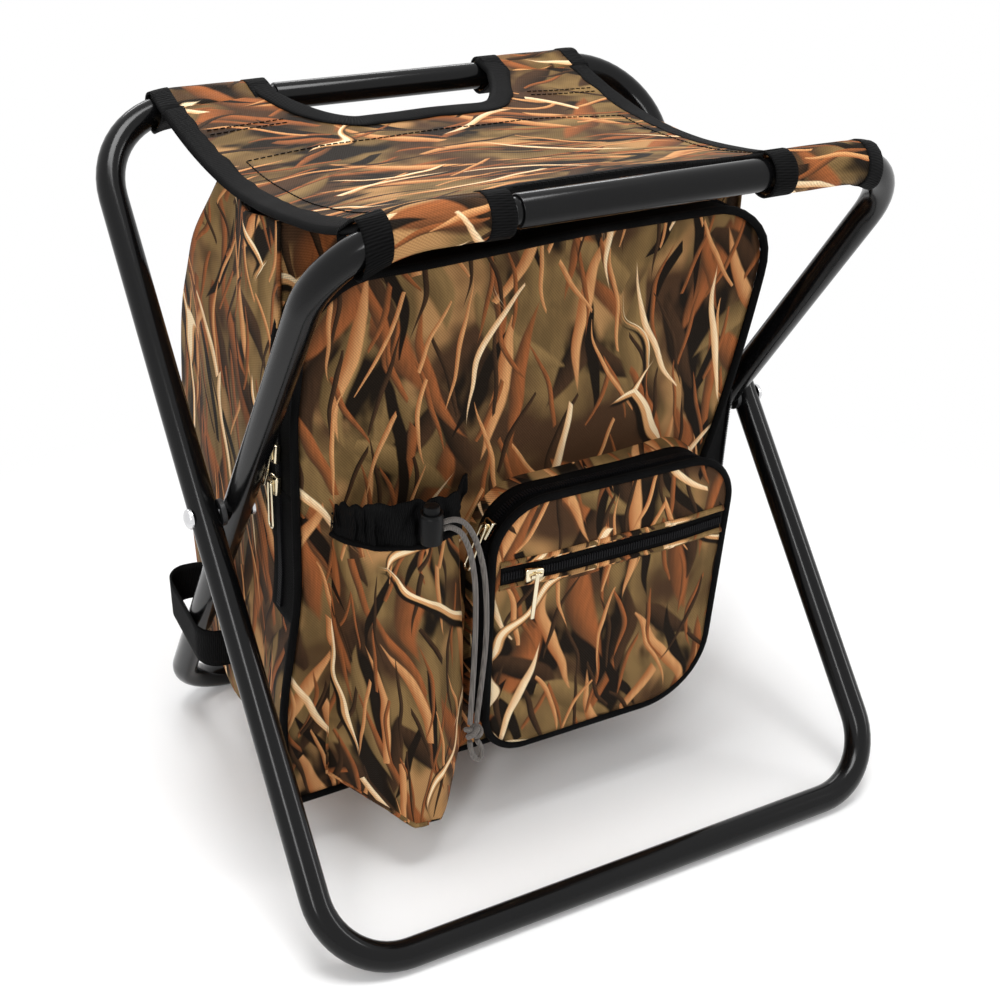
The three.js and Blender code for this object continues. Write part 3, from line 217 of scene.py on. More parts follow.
class StoolColours(bpy.types.PropertyGroup):
    """Colours of the cloth and fittings"""

    shade: colour_property("Shade", "Darkest patches of the camouflage", (0.012, 0.008, 0.005))
    bark: colour_property("Bark", "Dark brown patches", (0.064, 0.032, 0.016))
    olive: colour_property("Olive", "Olive-brown ground", (0.235, 0.145, 0.057))
    rust: colour_property("Rust", "Rust-brown patches", (0.345, 0.110, 0.035))
    tan: colour_property("Tan", "Tan patches", (0.68, 0.345, 0.14))
    cream: colour_property("Cream", "Pale flecks", (0.94, 0.74, 0.47))
    black_cloth: colour_property("Black cloth", "Binding, webbing and zip tape", (0.0034, 0.0034, 0.0035))
    tube: colour_property("Tube", "Powder coat of the loops", (0.0026, 0.0026, 0.0028))
    zip_metal: colour_property("Zip metal", "Sliders and pulls", (0.80, 0.70, 0.50))
    cord: colour_property("Cord", "Drawcord", (0.100, 0.087, 0.077))
    lining: colour_property("Lining", "Wipe-clean lining of the bag", (0.62, 0.63, 0.65))
    floor: colour_property("Floor", "Studio floor", (0.93, 0.93, 0.93))


# Small sums


def smooth(share):
    share = min(1, max(0, share))
    return share * share * (3 - 2 * share)


def mix(a, b, share):
    return a + (b - a) * share


def hump(share):
    """0 at both ends and 1 in the middle."""
    return math.sin(math.pi * min(1, max(0, share)))


def through(points, share):
    """A point on the smooth line through some points, at a share of its way."""
    last = len(points) - 1
    place = min(last - 1e-6, max(0, share * last))
    i = int(place)
    t = place - i
    p0, p1, p2, p3 = (Vector(points[min(last, max(0, i + k))]) for k in (-1, 0, 1, 2))
    return 0.5 * (2 * p1 + (p2 - p0) * t + (2 * p0 - 5 * p1 + 4 * p2 - p3) * t ** 2
                  + (3 * p1 - p0 - 3 * p2 + p3) * t ** 3)


def straight(points, share):
    """A point on the straight lines through some points, at a share of their count."""
    place = min(len(points) - 1 - 1e-6, max(0, share * (len(points) - 1)))
    i = int(place)
    return Vector(points[i]).lerp(Vector(points[i + 1]), place - i)


def on_panel(x, out, up):
    return PANEL_FOOT + Vector((x, 0, 0)) + PANEL_OUT * out + PANEL_UP * up


def from_mm(points):
    return [on_panel(x * MM, out * MM, up * MM) for x, out, up in points]


# Places behind the cloth, which its faces are turned away from
BAG_CENTRE = on_panel(0, -80 * MM, 150 * MM)
POCKET_CENTRE = on_panel(POCKET_MIDDLE_X, 15 * MM, POCKET_MIDDLE_UP)
POUCH_CENTRE = on_panel(POUCH_X, 18 * MM, 95 * MM)


def rumple(place, size, amount):
    """A smooth, seeded unevenness of cloth."""
    return amount * noise.noise(Vector(place) / size)


def rounded_outline(corners, radii, steps):
    """Points and outward directions round a counter-clockwise polygon with rounded corners."""
    count = len(corners)
    points = []
    for i, corner in enumerate(corners):
        here = Vector(corner)
        arriving = (here - Vector(corners[i - 1])).normalized()
        leaving = (Vector(corners[(i + 1) % count]) - here).normalized()
        turn = abs(arriving.angle_signed(leaving))
        radius = radii[i]
        start = here - arriving * radius * math.tan(turn / 2)
        outward = Vector((arriving.y, -arriving.x))
        centre = start - outward * radius
        for step in range(steps + 1):
            angle = turn * step / steps
            direction = outward * math.cos(angle) + arriving * math.sin(angle)
            points.append((centre + direction * radius, direction))
    return points


class Route:
    """A line of points with a direction at each, walked by length."""

    def __init__(self, points, directions, closed):
        self.points = list(points)
        self.directions = list(directions)
        if closed:
            self.points.append(self.points[0])
            self.directions.append(self.directions[0])
        self.marks = [0.0]
        for a, b in zip(self.points, self.points[1:]):
            self.marks.append(self.marks[-1] + (b - a).length)
        self.length = self.marks[-1]

    def at(self, distance):
        distance = min(self.length, max(0, distance))
        for i in range(len(self.marks) - 1):
            if distance <= self.marks[i + 1]:
                span = self.marks[i + 1] - self.marks[i]
                share = (distance - self.marks[i]) / span if span else 0
                place = self.points[i].lerp(self.points[i + 1], share)
                return place, self.directions[i].lerp(self.directions[i + 1], share).normalized()
        return self.points[-1], self.directions[-1]


# Meshes


def make_object(name, bm, material, flat_shaded=False):
    mesh = bpy.data.meshes.new(name)
    bm.to_mesh(mesh)
    bm.free()
    mesh.materials.append(material)
    mesh.polygons.foreach_set("use_smooth", [not flat_shaded] * len(mesh.polygons))
    piece = bpy.data.objects.new(name, mesh)
    bpy.context.collection.objects.link(piece)
    return piece


def face_out(bm, centre):
    """Turns the faces of a sheet away from a point behind it."""
    bm.normal_update()
    if sum((face.calc_center_median() - centre).dot(face.normal) * face.calc_area() for face in bm.faces) < 0:
        bmesh.ops.reverse_faces(bm, faces=bm.faces[:])


def cloth(name, columns, rows, place, material, thickness, roll=(0, 0), centre=None):
    """A sheet from a grid, thickened towards a centre behind it, or towards its own middle.

    place(u, v) gives a point and its place on the uncut cloth.
    """
    bm = bmesh.new()
    bmesh.ops.create_grid(bm, x_segments=columns, y_segments=rows, size=0.5, calc_uvs=True)
    uv_map = bm.loops.layers.uv.verify()
    for vert in bm.verts:
        point, flat = place(vert.co.x + 0.5, vert.co.y + 0.5)
        for loop in vert.link_loops:
            loop[uv_map].uv = (flat[0] + roll[0], flat[1] + roll[1])
        vert.co = point
    bmesh.ops.remove_doubles(bm, verts=bm.verts, dist=1e-6)
    face_out(bm, centre or sum((vert.co for vert in bm.verts), Vector()) / len(bm.verts))
    if thickness:
        bmesh.ops.solidify(bm, geom=bm.faces[:], thickness=thickness)
    return make_object(name, bm, material)


def rolled_edge(name, line, radius, roll):
    """A thin roll of camouflage cloth along line(share), on the front of the bag."""
    columns = 60
    length = sum((line((i + 1) / columns) - line(i / columns)).length for i in range(columns))

    def place(u, v):
        along = line(min(1, u + 0.01)) - line(max(0, u - 0.01))
        across = along.cross(PANEL_OUT).normalized()
        angle = 2 * math.pi * v
        ring = (PANEL_OUT * math.cos(angle) + across * math.sin(angle)) * radius
        return line(u) + ring, (u * length, radius * angle)

    return cloth(name, columns, 10, place, MATERIALS["camouflage"], 0, roll)


def tube_along(name, points, radius, material, closed=False, keep_curve=False):
    """A round cord or piping along points."""
    curve = bpy.data.curves.new(name, "CURVE")
    curve.dimensions = "3D"
    curve.bevel_depth = radius
    curve.bevel_resolution = 3
    curve.use_fill_caps = True
    spline = curve.splines.new("POLY")
    spline.points.add(len(points) - 1)
    for spot, point in zip(spline.points, points):
        spot.co = (*point, 1)
    spline.use_cyclic_u = closed
    spline.use_smooth = True
    curve.materials.append(material)
    piece = bpy.data.objects.new(name, curve)
    bpy.context.collection.objects.link(piece)
    if keep_curve:
        return piece
    bpy.context.view_layer.update()
    mesh = bpy.data.meshes.new_from_object(piece)
    bpy.data.objects.remove(piece)
    bpy.data.curves.remove(curve)
    mesh.name = name
    mesh.polygons.foreach_set("use_smooth", [True] * len(mesh.polygons))
    piece = bpy.data.objects.new(name, mesh)
    bpy.context.collection.objects.link(piece)
    return piece


def refine(points, count):
    return [through(points, i / (count - 1)) for i in range(count)]


def profile_mm(pairs, base=0):
    """Radius and height pairs in millimetres, above a base height in metres."""
    return [(radius * MM, base + height * MM) for radius, height in pairs]


def turn_profile(bm, profile):
    """Turns [radius, height] pairs about local Z."""
    verts = [bm.verts.new((radius, 0, height)) for radius, height in profile]
    edges = [bm.edges.new(pair) for pair in zip(verts, verts[1:])]
    bmesh.ops.spin(bm, geom=verts + edges, cent=(0, 0, 0), axis=(0, 0, 1), angle=2 * math.pi,
                   steps=TURNED_SEGMENTS, use_merge=True)
    bmesh.ops.remove_doubles(bm, verts=bm.verts[:], dist=1e-7)


def turned_piece(name, profiles, matrix, material):
    bm = bmesh.new()
    for profile in profiles:
        turn_profile(bm, profile)
    bmesh.ops.recalc_face_normals(bm, faces=bm.faces[:])
    bmesh.ops.transform(bm, matrix=matrix, verts=bm.verts[:])
    piece = make_object(name, bm, material)
    crease(piece)
    return piece


def crease(piece, angle=35):
    """Keeps hard edges sharp under smooth shading."""
    piece.data.set_sharp_from_angle(angle=math.radians(angle))


def bars(name, boxes, material):
    """Many small blocks as one piece. Each is a matrix and its three sizes."""
    bm = bmesh.new()
    for matrix, size in boxes:
        bmesh.ops.create_cube(bm, size=1, matrix=matrix @ Matrix.Diagonal((*size, 1)))
    return make_object(name, bm, material, flat_shaded=True)


def facing(place, along, outward):
    """A frame at a place with X along a line and Z out of a surface."""
    x = along.normalized()
    z = (outward - x * outward.dot(x)).normalized()
    y = z.cross(x)
    matrix = Matrix((x, y, z)).transposed().to_4x4()
    matrix.translation = place
    return matrix


def dashes(name, lines, length, gap, width, height, material):
    """Stitches, or the teeth of a zip, along lines of (place, outward) walked by length."""
    boxes = []
    for line, total in lines:
        count = int(total / (length + gap))
        for i in range(count):
            middle = (i + 0.5) * total / count
            place, outward = line(middle)
            before, after = line(middle - length / 2)[0], line(middle + length / 2)[0]
            if (after - before).length < 1e-6:
                continue
            boxes.append((facing(place, after - before, outward), (length, width, height)))
    return bars(name, boxes, material)


def zip_teeth(name, walk, total, body, width=CHAIN_WIDTH, height=TOOTH_HEIGHT):
    teeth = dashes(name, [(walk, total)], TOOTH, TOOTH_GAP, width, height, MATERIALS["chain"])
    dress(teeth, body, "black_cloth")


def thicken(piece, thickness, offset=-1):
    modifier = piece.modifiers.new("thickness", "SOLIDIFY")
    modifier.thickness = thickness
    modifier.offset = offset


def soften(bm, edges, offset, segments):
    """Bevels some edges."""
    bmesh.ops.bevel(bm, geom=edges, offset=offset, segments=segments, affect="EDGES", profile=0.5,
                    material=-1)


def dress(piece, body, slot, *nodes):
    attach(piece, body)
    if nodes:
        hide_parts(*nodes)
    return piece


def bridge_bodies(piece, bodies, start, end, slot, *nodes):
    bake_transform(piece)
    if nodes:
        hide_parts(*nodes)
    return piece


# Shader groups and materials


def new_group(name, inputs, outputs):
    group = bpy.data.node_groups.new(name, "ShaderNodeTree")
    for kind, socket, default in inputs:
        made = group.interface.new_socket(socket, in_out="INPUT", socket_type=kind)
        if default is not None:
            made.default_value = default
    for kind, socket in outputs:
        group.interface.new_socket(socket, in_out="OUTPUT", socket_type=kind)
    return group, group.nodes.new("NodeGroupInput"), group.nodes.new("NodeGroupOutput")


def link(tree, source, target):
    tree.links.new(source, target)


def feed(tree, value, socket):
    """Links an output to a socket, or sets the socket to a constant."""
    if hasattr(value, "is_output"):
        link(tree, value, socket)
    else:
        socket.default_value = value


def tone(colour, share):
    """A lighter or darker colour."""
    return [min(1, share * part) for part in colour]


def math_node(tree, operation, a, b=None, clamp=False):
    node = tree.nodes.new("ShaderNodeMath")
    node.operation = operation
    node.use_clamp = clamp
    for socket, value in zip(node.inputs, (a, b)):
        if value is not None:
            feed(tree, value, socket)
    return node.outputs[0]


def noise_node(tree, vector, scale, detail=2.0, roughness=0.5, distortion=0.0):
    node = tree.nodes.new("ShaderNodeTexNoise")
    node.inputs["Scale"].default_value = scale
    node.inputs["Detail"].default_value = detail
    node.inputs["Roughness"].default_value = roughness
    node.inputs["Distortion"].default_value = distortion
    link(tree, vector, node.inputs["Vector"])
    return node.outputs["Fac"]


def stretch(tree, vector, location, turn, scale):
    node = tree.nodes.new("ShaderNodeMapping")
    node.inputs["Location"].default_value = location
    node.inputs["Rotation"].default_value = (0, 0, math.radians(turn))
    node.inputs["Scale"].default_value = scale
    link(tree, vector, node.inputs["Vector"])
    return node.outputs[0]


def step_node(tree, value, low, high):
    node = tree.nodes.new("ShaderNodeMapRange")
    node.interpolation_type = "SMOOTHSTEP"
    node.inputs["From Min"].default_value = low
    node.inputs["From Max"].default_value = high
    link(tree, value, node.inputs["Value"])
    return node.outputs[0]


def vector_node(tree, operation, *values):
    node = tree.nodes.new("ShaderNodeVectorMath")
    node.operation = operation
    for socket, value in zip(node.inputs, values):
        feed(tree, value, socket)
    return node.outputs["Value"] if operation == "LENGTH" else node.outputs["Vector"]


def mix_colour(tree, share, a, b, blend="MIX"):
    node = tree.nodes.new("ShaderNodeMix")
    node.data_type = "RGBA"
    node.blend_type = blend
    feed(tree, share, node.inputs[0])
    for socket, value in ((node.inputs[6], a), (node.inputs[7], b)):
        feed(tree, value if hasattr(value, "is_output") else (*value, 1), socket)
    return node.outputs[2]


def leaf_mask(tree, place, seed, scale, squeeze, lean, length, width):
    """Scattered curved strokes, one to a cell of the cloth, each with its own turn.

    Gives the strokes' mask, a mask of their lit side and a random value for each stroke.
    """
    moved = vector_node(tree, "MULTIPLY_ADD", place, (1, squeeze, 0), (seed, 0.37 * seed, 0))
    cells = tree.nodes.new("ShaderNodeTexVoronoi")
    cells.voronoi_dimensions = "2D"
    cells.inputs["Scale"].default_value = scale
    cells.inputs["Randomness"].default_value = 0.9
    link(tree, moved, cells.inputs["Vector"])
    chance = tree.nodes.new("ShaderNodeSeparateColor")
    link(tree, cells.outputs["Color"], chance.inputs[0])
    offset = vector_node(tree, "SUBTRACT", moved, cells.outputs["Position"])
    offset = vector_node(tree, "MULTIPLY", offset, (1, 1 / squeeze, 0))
    turn = tree.nodes.new("ShaderNodeVectorRotate")
    turn.rotation_type = "Z_AXIS"
    link(tree, offset, turn.inputs["Vector"])
    link(tree, spread(tree, chance.outputs[0], -math.radians(lean), math.radians(lean)), turn.inputs["Angle"])
    local = tree.nodes.new("ShaderNodeSeparateXYZ")
    link(tree, turn.outputs[0], local.inputs[0])
    along = math_node(tree, "DIVIDE", local.outputs[1], length)
    square = math_node(tree, "MULTIPLY", along, along)
    bend = math_node(tree, "MULTIPLY", square, spread(tree, chance.outputs[1], -0.3 * length, 0.3 * length))
    across = math_node(tree, "SUBTRACT", local.outputs[0], bend)
    room = math_node(tree, "MULTIPLY", math_node(tree, "SUBTRACT", 1.0, square), width)
    inside = math_node(tree, "SUBTRACT", room, math_node(tree, "ABSOLUTE", across))
    mask = step_node(tree, inside, 0, 0.3 * width)
    lit = step_node(tree, across, -width, 0.6 * width)
    return mask, lit, chance.outputs[2]


def twig_mask(tree, place, seed, width):
    """Long forked twigs, broken here and there."""
    wander = noise_node(tree, place, 9.0, 2.0).node.outputs["Color"]
    bent = vector_node(tree, "MULTIPLY_ADD", wander, (0.12, 0.12, 0), place)
    moved = vector_node(tree, "MULTIPLY_ADD", bent, (1, 0.7, 0), (seed, 0.7 * seed, 0))
    cells = tree.nodes.new("ShaderNodeTexVoronoi")
    cells.voronoi_dimensions = "2D"
    cells.feature = "DISTANCE_TO_EDGE"
    cells.inputs["Scale"].default_value = TWIGS_PER_METRE
    link(tree, moved, cells.inputs["Vector"])
    broken = step_node(tree, noise_node(tree, moved, 13.0, 0.0), 0.50, 0.62)
    room = math_node(tree, "MULTIPLY", broken, width * TWIGS_PER_METRE)
    inside = math_node(tree, "SUBTRACT", room, cells.outputs["Distance"])
    return step_node(tree, inside, 0, 0.4 * width * TWIGS_PER_METRE)


def camouflage_group(colours):
    """Leaves, blades and twigs scattered over a shaded ground, drawn on the uncut cloth."""
    group, given, made = new_group("Camouflage", [("NodeSocketVector", "Cloth", None)],
                                   [("NodeSocketColor", "Color")])
    # A slow swirl bends every stroke.
    swirl = noise_node(group, given.outputs["Cloth"], 11, 2).node.outputs["Color"]
    place = vector_node(group, "MULTIPLY_ADD", swirl, (0.035, 0.02, 0), given.outputs["Cloth"])

    # The ground: soft shade between olive, straw, bark and near-black
    broad = noise_node(group, place, 13, 3)
    fine = noise_node(group, stretch(group, place, (3.1, 0.4, 0), 0, (70, 24, 1)), 1.0, 3)
    colour = mix_colour(group, step_node(group, fine, 0.35, 0.65), tone(colours.olive, 0.6), colours.olive)
    straw = [0.55 * a + 0.45 * b for a, b in zip(colours.olive, colours.tan)]
    glade = noise_node(group, stretch(group, place, (7.7, 2.2, 0), -12, (20, 11, 1)), 1.0, 2)
    colour = mix_colour(group, step_node(group, glade, 0.55, 0.64), colour, straw)
    colour = mix_colour(group, step_node(group, broad, 0.47, 0.60), colour, colours.bark)
    hollow = noise_node(group, stretch(group, place, (1.9, 5.3, 0), 10, (26, 12, 1)), 1.0, 3)
    colour = mix_colour(group, step_node(group, hollow, 0.53, 0.60), colour, colours.shade)

    # Each layer: shaded and lit colour, share of cells, seed, cells per metre, squeeze, lean in degrees,
    # half length and half width in millimetres
    shade, bark, olive = colours.shade, colours.bark, colours.olive
    rust, tan, cream = colours.rust, colours.tan, colours.cream
    layers = [
        (bark, rust, 0.75, 1.3, 17, 0.55, 55, 46, 10.0),
        (shade, bark, 0.80, 2.9, 21, 0.60, 60, 36, 8.0),
        (tone(olive, 0.5), tone(olive, 1.2), 0.60, 4.7, 17, 0.60, 70, 42, 9.5),
        (bark, rust, 0.80, 6.1, 29, 0.45, 32, 44, 4.2),
        (shade, shade, 0.80, 7.7, 27, 0.50, 45, 40, 4.0),
        (rust, tan, 0.65, 9.2, 22, 0.50, 40, 48, 4.6),
        (bark, rust, 0.80, 11.4, 46, 0.40, 28, 34, 1.9),
        (shade, bark, 0.80, 13.8, 42, 0.40, 34, 36, 1.7),
        (rust, tan, 0.70, 15.1, 40, 0.40, 36, 38, 1.6),
        (tan, cream, 0.50, 17.6, 24, 0.45, 48, 46, 2.4),
    ]
    for dark, light, share, seed, scale, squeeze, lean, length, width in layers:
        mask, lit, chance = leaf_mask(group, place, seed, scale, squeeze, lean, length * MM, width * MM)
        mask = math_node(group, "MULTIPLY", mask, math_node(group, "LESS_THAN", chance, share))
        veins = noise_node(group, stretch(group, place, (seed, 0, 0), 0, (520, 60, 1)), 1.0, 2)
        lit = math_node(group, "MULTIPLY", lit, spread(group, veins, 0.4, 1.4), clamp=True)
        colour = mix_colour(group, mask, colour, mix_colour(group, lit, dark, light))
    for paint, seed, width in ((shade, 2.602, 3.6), (tan, 2.600, 2.8), (cream, 2.599, 1.5)):
        colour = mix_colour(group, twig_mask(group, place, seed, width * MM), colour, paint)
    link(group, colour, made.inputs["Color"])
    return group


def weave_group():
    """Diagonal threads, as a height from 0 to 1."""
    group, given, made = new_group(
        "Twill Weave",
        [("NodeSocketVector", "Cloth", None), ("NodeSocketFloat", "Threads per metre", 650.0)],
        [("NodeSocketFloat", "Height")])
    parts = group.nodes.new("ShaderNodeSeparateXYZ")
    link(group, given.outputs["Cloth"], parts.inputs[0])
    threads = math_node(group, "MULTIPLY", given.outputs["Threads per metre"], 2 * math.pi)
    lines = []
    for weight_x, weight_y, strength in ((1.0, 0.8, 0.7), (0.6, -1.1, 0.3)):
        slope = math_node(group, "ADD", math_node(group, "MULTIPLY", parts.outputs[0], weight_x),
                          math_node(group, "MULTIPLY", parts.outputs[1], weight_y))
        wave = math_node(group, "SINE", math_node(group, "MULTIPLY", slope, threads))
        lines.append(math_node(group, "MULTIPLY", wave, strength))
    height = math_node(group, "MULTIPLY_ADD", math_node(group, "ADD", *lines), 0.5)
    height.node.inputs[2].default_value = 0.5
    link(group, height, made.inputs["Height"])
    return group


def grain_group():
    """Fine unevenness of a moulded or coated surface, with a broad cloudiness for its gloss."""
    group, given, made = new_group(
        "Surface Grain",
        [("NodeSocketVector", "Place", None), ("NodeSocketFloat", "Scale", 900.0)],
        [("NodeSocketFloat", "Height"), ("NodeSocketFloat", "Cloud")])
    fine = noise_node(group, given.outputs["Place"], 1.0, 3)
    link(group, given.outputs["Scale"], fine.node.inputs["Scale"])
    cloud = noise_node(group, given.outputs["Place"], 22.0, 4, 0.6)
    link(group, fine, made.inputs["Height"])
    link(group, cloud, made.inputs["Cloud"])
    return group


def new_material(name):
    material = bpy.data.materials.new(name)
    material.use_nodes = True
    tree = material.node_tree
    shader = tree.nodes["Principled BSDF"]
    coordinates = tree.nodes.new("ShaderNodeTexCoord")
    return material, tree, shader, coordinates


def place_group(tree, group, **values):
    node = tree.nodes.new("ShaderNodeGroup")
    node.node_tree = group
    for name, value in values.items():
        feed(tree, value, node.inputs[name.replace("_", " ")])
    return node


def bump(tree, shader, height, strength, distance):
    node = tree.nodes.new("ShaderNodeBump")
    node.inputs["Strength"].default_value = strength
    node.inputs["Distance"].default_value = distance
    link(tree, height, node.inputs["Height"])
    link(tree, node.outputs["Normal"], shader.inputs["Normal"])


def spread(tree, value, low, high):
    node = tree.nodes.new("ShaderNodeMapRange")
    node.inputs["To Min"].default_value = low
    node.inputs["To Max"].default_value = high
    link(tree, value, node.inputs["Value"])
    return node.outputs[0]


# Filled by make_materials
MATERIALS = {}


def camouflage_material(sizes, groups):
    material, tree, shader, coordinates = new_material("camouflage cloth")
    place = coordinates.outputs["UV"]
    paint = place_group(tree, groups["camouflage"], Cloth=place)
    weave = place_group(tree, groups["weave"], Cloth=place, Threads_per_metre=1 / sizes.weave)
    # Painted shade between the threads and painted light on their tops, following the weave's height
    lit = spread(tree, weave.outputs["Height"], 0.74, 1.1)
    shaded = mix_colour(tree, 1.0, paint.outputs["Color"], lit, "MULTIPLY")
    link(tree, shaded, shader.inputs["Base Color"])
    link(tree, spread(tree, weave.outputs["Height"], 0.72, 0.5), shader.inputs["Roughness"])
    shader.inputs["Specular IOR Level"].default_value = 0.05
    bump(tree, shader, weave.outputs["Height"], 0.4, 0.25 * MM)
    return material


def black_cloth_material(name, colour, threads, gloss, groups):
    material, tree, shader, coordinates = new_material(name)
    ribs = stretch(tree, coordinates.outputs["UV"], (0, 0, 0), 0, (1, 0.12, 1))
    weave = place_group(tree, groups["weave"], Cloth=ribs, Threads_per_metre=threads)
    grain = place_group(tree, groups["grain"], Place=coordinates.outputs["Object"], Scale=700.0)
    # Painted light on the thread tops and painted shade between the threads, from the weave's height
    painted_thread_shade = mix_colour(tree, spread(tree, weave.outputs["Height"], 0.0, 1.0), tone(colour, 0.55),
                      tone(colour, 1.9))
    # Random lighter patches of dust, laid over the painted thread shade
    dust = step_node(tree, grain.outputs["Cloud"], 0.45, 0.8)
    dust_and_thread_shade = mix_colour(tree, dust, painted_thread_shade, tone(colour, 2.6))
    link(tree, dust_and_thread_shade, shader.inputs["Base Color"])
    link(tree, spread(tree, weave.outputs["Height"], gloss + 0.12, gloss - 0.08), shader.inputs["Roughness"])
    shader.inputs["Specular IOR Level"].default_value = 0.03
    bump(tree, shader, weave.outputs["Height"], 0.6, 0.3 * MM)
    return material


def coated_material(name, colour, roughness, grain_scale, bump_strength, groups, metallic=0.0, gloss=0.5):
    material, tree, shader, coordinates = new_material(name)
    grain = place_group(tree, groups["grain"], Place=coordinates.outputs["Object"], Scale=grain_scale)
    tint = mix_colour(tree, spread(tree, grain.outputs["Cloud"], 0.0, 1.0), tone(colour, 0.8),
                      tone(colour, 1.2))
    link(tree, tint, shader.inputs["Base Color"])
    uneven = spread(tree, grain.outputs["Cloud"], 0.75 * roughness, 1.3 * roughness)
    link(tree, uneven, shader.inputs["Roughness"])
    shader.inputs["Metallic"].default_value = metallic
    shader.inputs["Specular IOR Level"].default_value = gloss
    bump(tree, shader, grain.outputs["Height"], bump_strength, 0.1 * MM)
    return material


def cord_material(colour, groups):
    material, tree, shader, coordinates = new_material("braided cord")
    weave = place_group(tree, groups["weave"], Cloth=coordinates.outputs["Object"], Threads_per_metre=900.0)
    grain = place_group(tree, groups["grain"], Place=coordinates.outputs["Object"], Scale=1500.0)
    # Painted shade in the grooves between the strands and painted light on their crowns, from the weave's
    # height
    painted_braid_shade = mix_colour(tree, weave.outputs["Height"], tone(colour, 0.6), tone(colour, 1.35))
    link(tree, painted_braid_shade, shader.inputs["Base Color"])
    link(tree, spread(tree, grain.outputs["Height"], 0.6, 0.85), shader.inputs["Roughness"])
    shader.inputs["Sheen Weight"].default_value = 0.2
    bump(tree, shader, weave.outputs["Height"], 0.6, 0.3 * MM)
    return material


def lining_material(colour, groups):
    material, tree, shader, coordinates = new_material("silver lining")
    grain = place_group(tree, groups["grain"], Place=coordinates.outputs["Object"], Scale=160.0)
    tint = mix_colour(tree, grain.outputs["Cloud"], tone(colour, 0.8), colour)
    link(tree, tint, shader.inputs["Base Color"])
    link(tree, spread(tree, grain.outputs["Height"], 0.25, 0.5), shader.inputs["Roughness"])
    shader.inputs["Metallic"].default_value = 0.55
    bump(tree, shader, grain.outputs["Height"], 0.5, 1.2 * MM)
    return material


def make_materials(scene):
    colours, sizes = scene.stool_colours, scene.stool_sizes
    groups = {"camouflage": camouflage_group(colours), "weave": weave_group(), "grain": grain_group()}
    black = list(colours.black_cloth)
    MATERIALS.update(
        camouflage=camouflage_material(sizes, groups),
        binding=black_cloth_material("black binding", black, 800.0, 0.62, groups),
        tape=black_cloth_material("zip tape", tone(black, 0.8), 1300.0, 0.7, groups),
        thread=black_cloth_material("dark thread", tone(black, 0.9), 2000.0, 0.6, groups),
        chain=coated_material("zip chain", (0.006, 0.006, 0.007), 0.55, 900.0, 0.2, groups, gloss=0.08),
        tube=coated_material("gloss black tube", list(colours.tube), 0.17, 1400.0, 0.06, groups, gloss=0.22),
        steel=coated_material("plated steel", (0.66, 0.66, 0.67), 0.24, 900.0, 0.1, groups, metallic=1.0),
        nylon=coated_material("nylon", (0.012, 0.012, 0.013), 0.45, 800.0, 0.2, groups),
        plastic=coated_material("lock plastic", (0.004, 0.004, 0.0042), 0.42, 1600.0, 0.3, groups,
                                gloss=0.14),
        zip_metal=coated_material("zip metal", list(colours.zip_metal), 0.16, 1200.0, 0.08, groups,
                                  metallic=1.0),
        cord=cord_material(list(colours.cord), groups),
        lining=lining_material(list(colours.lining), groups),
    )


# Stage


def seen_ray(tree):
    """1 for what the camera sees directly, in gloss or through glass."""
    paths = tree.nodes.new("ShaderNodeLightPath")
    direct = math_node(tree, "MAXIMUM", paths.outputs["Is Camera Ray"], paths.outputs["Is Glossy Ray"])
    return math_node(tree, "MAXIMUM", direct, paths.outputs["Is Transmission Ray"])


def floor_material(colour):
    """A pale floor that takes the shadow near the object and is plain white farther off."""
    material, tree, shader, coordinates = new_material("studio floor")
    speck = noise_node(tree, coordinates.outputs["Object"], 40, 3)
    tint = mix_colour(tree, speck, tone(colour, 0.99), colour)
    link(tree, tint, shader.inputs["Base Color"])
    shader.inputs["Roughness"].default_value = 0.9
    shader.inputs["Specular IOR Level"].default_value = 0.1
    white = tree.nodes.new("ShaderNodeEmission")
    far = step_node(tree, vector_node(tree, "LENGTH", coordinates.outputs["Object"]), 0.12, 0.62)
    joined = tree.nodes.new("ShaderNodeMixShader")
    link(tree, math_node(tree, "MULTIPLY", far, seen_ray(tree)), joined.inputs[0])
    link(tree, shader.outputs[0], joined.inputs[1])
    link(tree, white.outputs[0], joined.inputs[2])
    link(tree, joined.outputs[0], tree.nodes["Material Output"].inputs["Surface"])
    return material


def add_lamp(name, place, aim, size, power):
    data = bpy.data.lights.new(name, "AREA")
    data.shape = "RECTANGLE"
    data.size, data.size_y = size
    data.energy = power
    lamp = bpy.data.objects.new(name, data)
    lamp.location = place
    lamp.rotation_euler = (Vector(aim) - Vector(place)).to_track_quat("-Z", "Y").to_euler()
    bpy.context.collection.objects.link(lamp)


